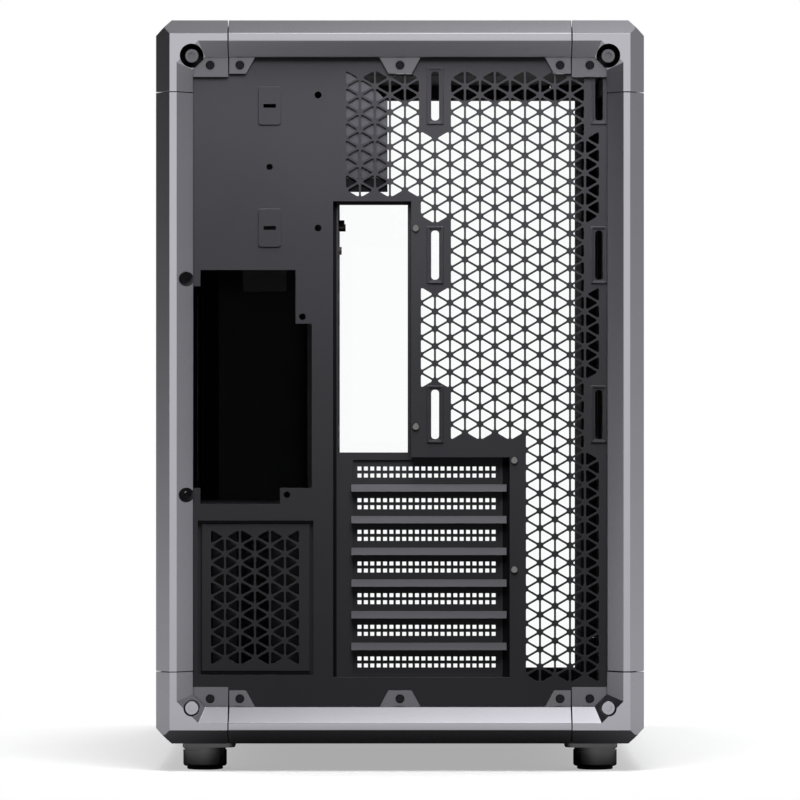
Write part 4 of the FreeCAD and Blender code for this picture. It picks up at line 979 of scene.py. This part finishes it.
class CASE_OT_fasteners(bpy.types.Operator):
    """Panel screws, slot screws, corner bolts and rivets, each modelled once and copied"""

    bl_idname = "case.fasteners"
    bl_label = "Fasteners"

    def execute(self, context):
        finish = finishes()
        seat = PANEL_OUT - TAB
        screw = rod("rear_panel_screw", (0, seat - 0.8, 0), "Y", 2.8, 1.6, 28)
        round_edges(screw, 0.75, at_ends(1, seat - 1.5, -1), 4)
        cross_recess(screw, (0, seat - 1.6, 0), "Y", 1.5, 0.9)
        boolean(screw, "UNION", rod("shank", (0, seat + 2.9, 0), "Y", 1.4, 6.2, 20))
        smooth(screw)
        places = [(x, 0, z) for z in (CASE_LOW.z + SCREW_INSET, CASE_HIGH.z - SCREW_INSET)
                  for x in SCREW_COLUMNS]
        dress(scatter(screw, "panel_screws", places), finish["screw_steel"], "case", "screw_steel",
              "rear_panel_screws")
        self.slot_screws(finish["screw_steel"])
        self.bolts(finish["bolt_steel"])
        self.rivets(finish["rivet_aluminium"])
        return {"FINISHED"}

    def slot_screws(self, finish):
        """Thumb screws that hold the slot covers, with grooves round the head."""
        low, high = node_box("slot_screws")
        y = (low.y + high.y) / 2
        screw = rod("slot_screw", (low.x + 2.25, y, 0), "X", 3.5, 4.5, 24)
        pick(screw, "FACE", lambda face: abs(face.normal.x) < 0.1 and face.index % 2 == 0)
        bpy.ops.mesh.inset(thickness=0.2 * MM, depth=-0.3 * MM, use_individual=True)
        shape_done(screw)
        cross_recess(screw, (low.x, y, 0), "X", 1.9, 1.2)
        boolean(screw, "UNION", rod("shank", (high.x - 4, y, 0), "X", 1.4, 8, 20))
        dress(scatter(smooth(screw), "cover_screws", [(0, 0, z) for z in slot_levels()]), finish, "case",
              "screw_steel", "slot_screws")

    def bolts(self, finish):
        """Socket-head bolts in the rear corners; the lower two get the frame's bright aluminium as painted
        light, where the light from above falls.
        """
        low, high = node_box("corner_bolts")
        bolt = rod("corner_bolt", (0, low.y + 2.25, 0), "Y", 4.5, 4.5, 36)
        round_edges(bolt, 0.6, at_ends(1, low.y + 0.1, -1), 3)
        boolean(bolt, "DIFFERENCE", rod("socket", (0, low.y, 0), "Y", 2.31, 5, 6))
        boolean(bolt, "UNION", rod("shank", (0, high.y - 3.5, 0), "Y", 2.5, 7, 24))
        x, z = CASE_HIGH.x - BOLT_INSET, (CASE_LOW.z + BOLT_INSET, CASE_HIGH.z - BOLT_INSET)
        places = [(side * x, 0, level) for side in (-1, 1) for level in z]
        bolts = scatter(smooth(bolt), "socket_bolts", places)
        dress(bolts, finish, "case", "screw_steel", "corner_bolts")
        # Painted light: the lower bolts take the bright aluminium because the light from above falls on the
        # lower corners.
        paint(bolts, finishes()["frame_aluminium"], lambda face: face.calc_center_median().z < 100 * MM)

    def rivets(self, finish):
        """Blind rivets with the hollow that their mandrel leaves."""
        low = node_box("bracket_rivets")[0]
        rivet = rod("bracket_rivet", (0, (low.y + PANEL_OUT) / 2, 0), "Y", 2.3, PANEL_OUT - low.y, 24)
        round_edges(rivet, 0.6, at_ends(1, low.y + 0.1, -1), 3)
        boolean(rivet, "DIFFERENCE", rod("hollow", (0, low.y, 0), "Y", 0.8, 1.2, 16))
        boolean(rivet, "UNION", rod("shank", (0, PANEL_OUT + 0.9, 0), "Y", 1.2, 2.2, 16))
        rivets = scatter(smooth(rivet), "blind_rivets", [(x, 0, z) for x, z in RIVETS])
        dress(rivets, finish, "case", "rivet_aluminium", "bracket_rivets")


class CASE_OT_feet(bpy.types.Operator):
    """Four turned feet with base plates, and the rubber pads under them"""

    bl_idname = "case.feet"
    bl_label = "Feet"

    def execute(self, context):
        radius, plate = context.scene.case_sizes.foot_radius / MM, 3.0
        finish = finishes()
        places = []
        for side_y in ("rear", "front"):
            for side_x in ("left", "right"):
                node = f"foot_{side_y}_{side_x}"
                low, high = node_box(node)
                x = low.x + radius if side_x == "left" else high.x - radius
                y = (low.y + high.y) / 2
                places.append((x, y, 0))
                top = high.z - plate
                foot = rod(node + "_turned", (x, y, (low.z + top) / 2), "Z", radius, top - low.z, 64)
                round_edges(foot, 1.4, at_ends(2, low.z + 0.1, -1), 4)
                base = cube("base", (low.x, low.y, top), high)
                round_edges(base, 5.0, along(2), 5)
                ring = rod("ring", (x, y, top - 1.6), "Z", radius + 1, 1.2, 64)
                boolean(ring, "DIFFERENCE", rod("core", (x, y, top - 1.6), "Z", radius - 0.8, 4, 64))
                boolean(foot, "DIFFERENCE", ring)
                boolean(foot, "UNION", base)
                dress(soften(foot, 0.4), finish["foot_black"], "case", "foot_black", node)
        low, high = node_box("foot_pads")
        pad = rod("foot_pad", (0, 0, (low.z + high.z) / 2), "Z", 11.5, high.z - low.z, 48)
        pick(pad, "FACE", facing(2, -1))
        bpy.ops.mesh.inset(thickness=2.5 * MM)
        bpy.ops.mesh.inset(thickness=0.6 * MM, depth=-0.6 * MM)
        shape_done(pad)
        dress(scatter(soften(pad, 0.25), "rubber_pads", places), finish["pad_rubber"], "case", "pad_rubber",
              "foot_pads")
        return {"FINISHED"}


class CASE_OT_glass(bpy.types.Operator):
    """Side and front panes with ground edges and a black border fired on the inside"""

    bl_idname = "case.glass"
    bl_label = "Glass"

    def execute(self, context):
        sizes = context.scene.case_sizes
        self.pane("side_glass", 0, 1, sizes.frit_side)
        self.pane("front_glass", 1, 0, sizes.frit_bar)
        return {"FINISHED"}

    def pane(self, node, axis, across, first):
        """One pane: across is the axis of its level edges, first the border at their low end."""
        sizes = bpy.context.scene.case_sizes
        low, high = node_box(node)
        pane = cube(node + "_pane", low, high)
        pick(pane, "FACE", facing(axis, -1))
        bpy.ops.mesh.inset(thickness=sizes.frit_end)
        shape_done(pane)
        middle = (low + high) / 2

        def inner(vertex):
            return all(low[i] + 1 < vertex.co[i] / MM < high[i] - 1 for i in (across, 2))

        for sign in (-1, 1):
            pick(pane, "VERT", lambda v: inner(v) and (v.co[across] / MM - middle[across]) * sign > 0)
            shift = Vector((0, 0, 0))
            shift[across] = sign * (sizes.frit_end - (first if sign < 0 else sizes.frit_side))
            bpy.ops.transform.translate(value=shift)
            shape_done(pane)
        round_edges(pane, 0.5, lambda edge: not any(inner(vertex) for vertex in edge.verts), 2)
        dress(pane, finishes()["clear_glass"], node, "clear_glass", node)

        def border(face):
            off = face.calc_center_median() / MM - middle
            return face.normal[axis] < -0.9 and (abs(off[across]) > 20 or abs(off.z) > 20)

        paint(pane, finishes()["enamel"], border)


def pressed_panel(node, axis, sign, slots):
    """Steel panel pressed like a shallow tray, with round-ended louvre slots."""
    low, high = node_box(node)
    panel = cube(node + "_pressed", low, high)
    outer = (high if sign > 0 else low)[axis]
    round_edges(panel, 1.6, at_ends(axis, outer - sign * 0.1, sign), 4)
    inner_low, inner_high = low + Vector([SHEET] * 3), high - Vector([SHEET] * 3)
    (inner_low if sign > 0 else inner_high)[axis] -= sign * (SHEET + PAST)
    boolean(panel, "DIFFERENCE", cube("hollow", inner_low, inner_high))
    boolean(panel, "DIFFERENCE", slots)
    return smooth(panel)


def louvre_slots(low, high, axis, step, count):
    """Row of round-ended slots through a panel."""
    slot = cube("louvre", low, high)
    round_edges(slot, 2.8, along(axis), 5)
    return repeat(slot, step, count)


SIDE_LOUVRES, TOP_LOUVRES = 22, 24
SIDE_LOUVRE_START = 270.0
SIDE_LOUVRE_LIFT = 3.0
TOP_LOUVRE_GAP = 12.0


class CASE_OT_panels(bpy.types.Operator):
    """Side and top panels with louvres, and the front cover and upright bar"""

    bl_idname = "case.panels"
    bl_label = "Panels"

    def execute(self, context):
        sizes = context.scene.case_sizes
        finish = finishes()
        run, width, pitch = sizes.louvre_length / MM, sizes.louvre_width / MM, sizes.louvre_pitch / MM
        low, high = node_box("side_panel")
        start_y = CASE_LOW.y + SIDE_LOUVRE_START
        # Lifted above the middle, so that no slot lines up with the screw holes of the power supply.
        start_z = (low.z + high.z - (SIDE_LOUVRES - 1) * pitch - width) / 2 + SIDE_LOUVRE_LIFT
        slots = louvre_slots((low.x - PAST, start_y, start_z), (high.x + PAST, start_y + run, start_z + width),
                             0, (0, 0, pitch), SIDE_LOUVRES)
        dress(pressed_panel("side_panel", 0, -1, slots), finish["panel_steel"], "side_panel", "panel_steel",
              "side_panel")
        low, high = node_box("top_panel")
        start_y = (low.y + high.y - (TOP_LOUVRES - 1) * pitch - width) / 2
        half = TOP_LOUVRE_GAP / 2
        slots = louvre_slots((-run - half, start_y, low.z - PAST), (-half, start_y + width, high.z + PAST),
                             2, (0, pitch, 0), TOP_LOUVRES)
        repeat(slots, (run + TOP_LOUVRE_GAP, 0, 0), 2)
        dress(pressed_panel("top_panel", 2, 1, slots), finish["panel_steel"], "top_panel", "panel_steel",
              "top_panel")
        dress(rework("front_cover", 0.4), finish["panel_steel"], "case", "panel_steel", "front_cover")
        dress(rework("front_mullion", 0.5), finish["mullion_aluminium"], "case", "mullion_aluminium",
              "front_mullion")
        return {"FINISHED"}


class CASE_OT_front_module(bpy.types.Operator):
    """Dished buttons, and the tongues inside the sockets"""

    bl_idname = "case.front_module"
    bl_label = "Buttons and sockets"

    def execute(self, context):
        finish = finishes()
        for node, radius in (("power_button", 8.0), ("reset_button", 3.5)):
            low, high = node_box(node)
            x, z = (low.x + high.x) / 2, (low.z + high.z) / 2
            button = rod(node + "_cap", (x, (low.y + high.y) / 2, z), "Y", radius, high.y - low.y, 64)
            pick(button, "FACE", facing(1, 1))
            bpy.ops.mesh.inset(thickness=radius * 0.14 * MM)
            bpy.ops.mesh.inset(thickness=radius * 0.2 * MM, depth=-0.35 * MM)
            shape_done(button)
            boolean(button, "UNION", rod("flange", (x, low.y + 0.75, z), "Y", radius + 1.5, 1.5, 64))
            dress(soften(button, 0.18), finish["moulded_plastic"], node, "moulded_plastic", node)
        for node, thick, offset in (("usb_a_socket_1", 2.0, -1.0), ("usb_a_socket_2", 2.0, -1.0),
                                    ("usb_c_socket", 0.7, 0.0)):
            low, high = node_box(node)
            x = (low.x + high.x) / 2 + offset
            tongue = cube(node + "_tongue", (x - thick / 2, low.y + 2.5, low.z + 1.3),
                          (x + thick / 2, high.y - 1.2, high.z - 1.3))
            round_edges(tongue, thick * 0.3, at_ends(1, high.y - 1.4, 1), 2)
            dress(tongue, finish["moulded_plastic"], "case", "moulded_plastic")
        return {"FINISHED"}


CABLE_SLOTS = ((93.0, 183.0), (218.0, 308.0), (343.0, 433.0))
CABLE_SLOT_Y = (45.2, 76.2)
TRAY_FACE = -44.0
FLANGE_PAINT = 379.3


class CASE_OT_interior(bpy.types.Operator):
    """Board tray with rounded edges, and rubber grommets in its cable slots"""

    bl_idname = "case.interior"
    bl_label = "Interior"

    def execute(self, context):
        finish = finishes()
        dress(rework("psu_shelf", 0.25), finish["black_steel_and_painted_shade"], "case", "panel_steel", "psu_shelf")
        cage = dress(rework("drive_cage", 0.25), finish["black_steel_and_painted_shade"], "case", "panel_steel", "drive_cage")
        straps = node_box("drive_cage")[0].y + 0.1
        paint(cage, finish["panel_steel"],
              lambda face: face.normal.y < -0.9 and face.calc_center_median().y < straps * MM)
        tray = dress(rework("board_tray", 0.25), finish["black_steel_and_painted_shade"], "case", "panel_steel", "board_tray")
        # Painted light: the tray flange above FLANGE_PAINT lies in the shade of the panel behind the vent and
        # gets the lighter grey; below that level it stays black.
        pick(tray, "FACE", facing(1, -1))
        bpy.ops.mesh.bisect(plane_co=(0, 0, FLANGE_PAINT * MM), plane_no=(0, 0, 1))
        shape_done(tray)
        paint(tray, finish["grey_steel_as_painted_light"],
              lambda face: face.normal.y < -0.9 and face.calc_center_median().z > FLANGE_PAINT * MM)
        self.grommets(finish["pad_rubber"])
        self.finish_solids(finish)
        return {"FINISHED"}

    def grommets(self, finish):
        """Rubber grommets with grooves where a cable would part them, modelled once and copied."""
        face, (rear, front), (bottom, top) = TRAY_FACE, CABLE_SLOT_Y, CABLE_SLOTS[0]
        middle = (rear + front) / 2
        grommet = cube("grommet", (face - 2.2, rear, bottom - 2.5), (face + 1.2, front, top + 2.5))
        round_edges(grommet, 9.0, along(0), 6)
        pick(grommet, "FACE", lambda face: abs(face.normal.x) > 0.9)
        bpy.ops.mesh.inset(thickness=3.4 * MM, use_individual=True)
        bpy.ops.mesh.inset(thickness=0.4 * MM, depth=-0.9 * MM, use_individual=True)
        shape_done(grommet)
        groove = face - 0.6
        slit = cube("slit", (groove, middle - 0.5, bottom + 5), (face + PAST, middle + 0.5, top - 5))
        cross = cube("cross", (groove, middle - 8.7, bottom + 14.6), (face + PAST, middle + 8.7, bottom + 15.4))
        boolean(grommet, "DIFFERENCE", slit, repeat(cross, (0, 0, 20), 4))
        smooth(grommet)
        for i, (low, _) in enumerate(CABLE_SLOTS):
            dress(copy(grommet, f"cable_grommet_{i + 1}", (0, 0, low - bottom)), finish, "case", "pad_rubber")
        bpy.data.objects.remove(grommet)

    def finish_solids(self, finish):
        """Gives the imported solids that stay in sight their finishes."""
        slots = {"board_standoffs": "standoff_brass", "dust_filter": "filter_mesh",
                 "io_housing": "moulded_plastic", "io_circuit": "circuit_board", "usb_c_socket": "socket_steel",
                 "usb_a_socket_1": "socket_steel", "usb_a_socket_2": "socket_steel"}
        for name, node in frame["nodes"].items():
            if not node.hide_render:
                node.data.materials.clear()
                node.data.materials.append(finish[slots.get(name, "black_steel_and_painted_shade")])


# Bright parts of the studio that the metal mirrors: direction, start and full angle cosines, brightness.
SURROUND = (((0, 0.45, 0.89), 0.6, 0.98, 0.3), ((1, 0, 0), -0.1, 1.0, 0.3),
            ((0, -0.99, 0.1), 0.8, 0.99, 1.0), ((0, 0.99, 0.1), 0.7, 0.99, 0.8))
# Square lamps: name, place, point that they face, side in metres, watts.
LAMPS = (("key", (0.08, -0.52, 0.97), (0, -0.215, 0.24), 0.5, 1.6),
         ("wash", (0.0, -0.42, 0.72), (0, -0.215, 0.42), 0.4, 5.0),
         ("overhead", (0.0, 0.35, 2.0), (0, -0.215, 0.24), 1.6, 24),
         ("front", (0.5, 2.4, 1.2), (0, 0.2, 0.24), 1.4, 40),
         ("left", (-2.4, 0.9, 1.2), (0, 0.1, 0.24), 1.4, 45),
         ("right", (2.4, 0.9, 1.2), (0, 0.1, 0.24), 1.4, 40))
CAMERA_PLACE = (0, -3.313, 0.2372)
CAMERA_LENS = 217.6
CAMERA_SENSOR = 36.0


class CASE_OT_stage(bpy.types.Operator):
    """White studio floor, soft lamps, surround and camera"""

    bl_idname = "case.stage"
    bl_label = "Studio stage"

    def execute(self, context):
        scene = context.scene
        scene.view_settings.view_transform = "Standard"
        bpy.ops.object.select_all(action="DESELECT")
        bpy.ops.mesh.primitive_plane_add(size=14)
        floor = settle("studio_floor")
        floor.data.materials.append(self.floor_finish(scene.case_colours.floor))
        for name, *values in LAMPS:
            # Diffuse surfaces take every lamp; the metal mirrors the key and the surround only.
            self.lamp(name, *values).visible_glossy = name == "key"
        self.surround(scene)
        bpy.ops.object.camera_add(location=CAMERA_PLACE, rotation=(math.pi / 2, 0, 0))
        camera = context.object
        camera.data.sensor_width = CAMERA_SENSOR
        camera.data.lens = CAMERA_LENS
        scene.camera = camera
        return {"FINISHED"}

    def lamp(self, name, place, aim, size, power):
        """Square soft lamp aimed at a point, hidden from the camera and through the glass."""
        turn = (Vector(aim) - Vector(place)).to_track_quat("-Z", "Y").to_euler()
        bpy.ops.object.light_add(type="AREA", location=place, rotation=turn)
        lamp = bpy.context.object
        lamp.name = name
        lamp.data.size = size
        lamp.data.energy = power
        lamp.visible_camera = lamp.visible_transmission = False
        return lamp

    def seen(self, tree):
        """Light path, and whether a ray comes from the eye, straight or through glass."""
        path = add_node(tree, "ShaderNodeLightPath")
        return path, add_node(tree, "ShaderNodeMath", None,
                              {0: path.outputs["Is Camera Ray"], 1: path.outputs["Is Transmission Ray"]},
                              operation="MAXIMUM")

    def floor_finish(self, base):
        """Matt paper sweep: takes the shadow near the case and fades to plain white further out."""
        material, tree = start_material("white_paper")
        place = add_node(tree, "ShaderNodeTexCoord")
        fibre = add_node(tree, "ShaderNodeTexNoise", {"Scale": 1 / (3 * MM), "Detail": 2.0},
                         {"Vector": place.outputs["Object"]})
        tint = add_node(tree, "ShaderNodeMix", {"A": [c * 0.98 for c in base] + [1.0], "B": [*base, 1.0]},
                        {"Factor": fibre.outputs["Fac"]}, data_type="RGBA")
        path, seen = self.seen(tree)
        # The sheet of paper is small: the case itself gets little light back from the dark studio round it.
        tint = add_node(tree, "ShaderNodeMix", {"A": (0.03, 0.03, 0.03, 1.0)},
                        {"Factor": seen.outputs["Value"], "B": tint.outputs["Result"]}, data_type="RGBA")
        paper = add_node(tree, "ShaderNodeBsdfDiffuse", None, {"Color": tint.outputs["Result"]})
        white = add_node(tree, "ShaderNodeEmission", {"Color": (1, 1, 1, 1), "Strength": 1.0})
        far = add_node(tree, "ShaderNodeVectorMath", None, {0: place.outputs["Object"]}, operation="LENGTH")
        fade = add_node(tree, "ShaderNodeMapRange", {"From Min": 0.25, "From Max": 0.42, "To Min": 0.4},
                        {"Value": far.outputs["Value"]}, interpolation_type="SMOOTHSTEP")
        share = add_node(tree, "ShaderNodeMath", None,
                         {0: seen.outputs["Value"], 1: fade.outputs["Result"]}, operation="MULTIPLY")
        # Metal mirrors only paper that lies clear of the case, so that the lowest edges keep their depth.
        clear = add_node(tree, "ShaderNodeMapRange", {"From Min": 0.24, "From Max": 0.45, "To Max": 0.65},
                         {"Value": far.outputs["Value"]}, interpolation_type="SMOOTHSTEP")
        share = add_node(tree, "ShaderNodeMath", None,
                         {0: path.outputs["Is Glossy Ray"], 1: clear.outputs["Result"],
                          2: share.outputs["Value"]}, operation="MULTIPLY_ADD")
        both = add_node(tree, "ShaderNodeMixShader", None,
                        {0: share.outputs["Value"], 1: paper.outputs["BSDF"], 2: white.outputs["Emission"]})
        add_node(tree, "ShaderNodeOutputMaterial", None, {"Surface": both.outputs["Shader"]})
        return material

    def surround(self, scene):
        """White to the eye and through glass, soft lobes in reflections, a plain level of ambient light."""
        world = scene.world or bpy.data.worlds.new("studio")
        scene.world = world
        world.use_nodes = True
        tree = world.node_tree
        tree.nodes.clear()
        place = add_node(tree, "ShaderNodeTexCoord")
        level = None
        for direction, start, stop, gain in SURROUND:
            toward = add_node(tree, "ShaderNodeVectorMath", {1: direction}, {0: place.outputs["Generated"]},
                              operation="DOT_PRODUCT")
            lobe = add_node(tree, "ShaderNodeMapRange", {"From Min": start, "From Max": stop, "To Max": gain},
                            {"Value": toward.outputs["Value"]}, interpolation_type="SMOOTHSTEP")
            links = {0: lobe.outputs["Result"]}
            if level:
                links[1] = level.outputs["Value"]
            level = add_node(tree, "ShaderNodeMath", None if level else {1: 0.01}, links, use_clamp=True)
        path, seen = self.seen(tree)
        mirrored = add_node(tree, "ShaderNodeMix", {"A": 0.04},
                            {"Factor": path.outputs["Is Glossy Ray"], "B": level.outputs["Value"]})
        level = add_node(tree, "ShaderNodeMix", {"B": 1.0},
                         {"Factor": seen.outputs["Value"], "A": mirrored.outputs["Result"]})
        sky = add_node(tree, "ShaderNodeBackground", {"Color": (1, 1, 1, 1)},
                       {"Strength": level.outputs["Result"]})
        add_node(tree, "ShaderNodeOutputWorld", None, {"Surface": sky.outputs["Background"]})


OPERATORS = (CASE_OT_frame_bars, CASE_OT_rear_panel, CASE_OT_slot_bracket, CASE_OT_drive_vent,
             CASE_OT_fasteners, CASE_OT_feet, CASE_OT_glass, CASE_OT_panels, CASE_OT_front_module,
             CASE_OT_interior, CASE_OT_stage)


class CASE_PT_pieces(bpy.types.Panel):
    """Lists the pieces of the case with their sizes and colours"""

    bl_idname = "CASE_PT_pieces"
    bl_label = "Computer Case"
    bl_space_type = "VIEW_3D"
    bl_region_type = "UI"
    bl_category = "Computer Case"

    def draw(self, context):
        for operator in OPERATORS:
            self.layout.operator(operator.bl_idname)
        for group in (context.scene.case_sizes, context.scene.case_colours):
            box = self.layout.box()
            for name in group.__annotations__:
                box.prop(group, name)


CLASSES = (CaseSizes, CaseColours, *OPERATORS, CASE_PT_pieces)


def register():
    for item in CLASSES:
        bpy.utils.register_class(item)
    bpy.types.Scene.case_sizes = bpy.props.PointerProperty(type=CaseSizes)
    bpy.types.Scene.case_colours = bpy.props.PointerProperty(type=CaseColours)


def unregister():
    del bpy.types.Scene.case_colours
    del bpy.types.Scene.case_sizes
    for item in reversed(CLASSES):
        bpy.utils.unregister_class(item)


def main():
    register()
    bpy.ops.object.select_all(action="DESELECT")
    bpy.ops.case.frame_bars()
    bpy.ops.case.rear_panel()
    bpy.ops.case.slot_bracket()
    bpy.ops.case.drive_vent()
    bpy.ops.case.fasteners()
    bpy.ops.case.feet()
    bpy.ops.case.glass()
    bpy.ops.case.panels()
    bpy.ops.case.front_module()
    bpy.ops.case.interior()
    bpy.ops.case.stage()


if __name__ == "__main__":
    main()
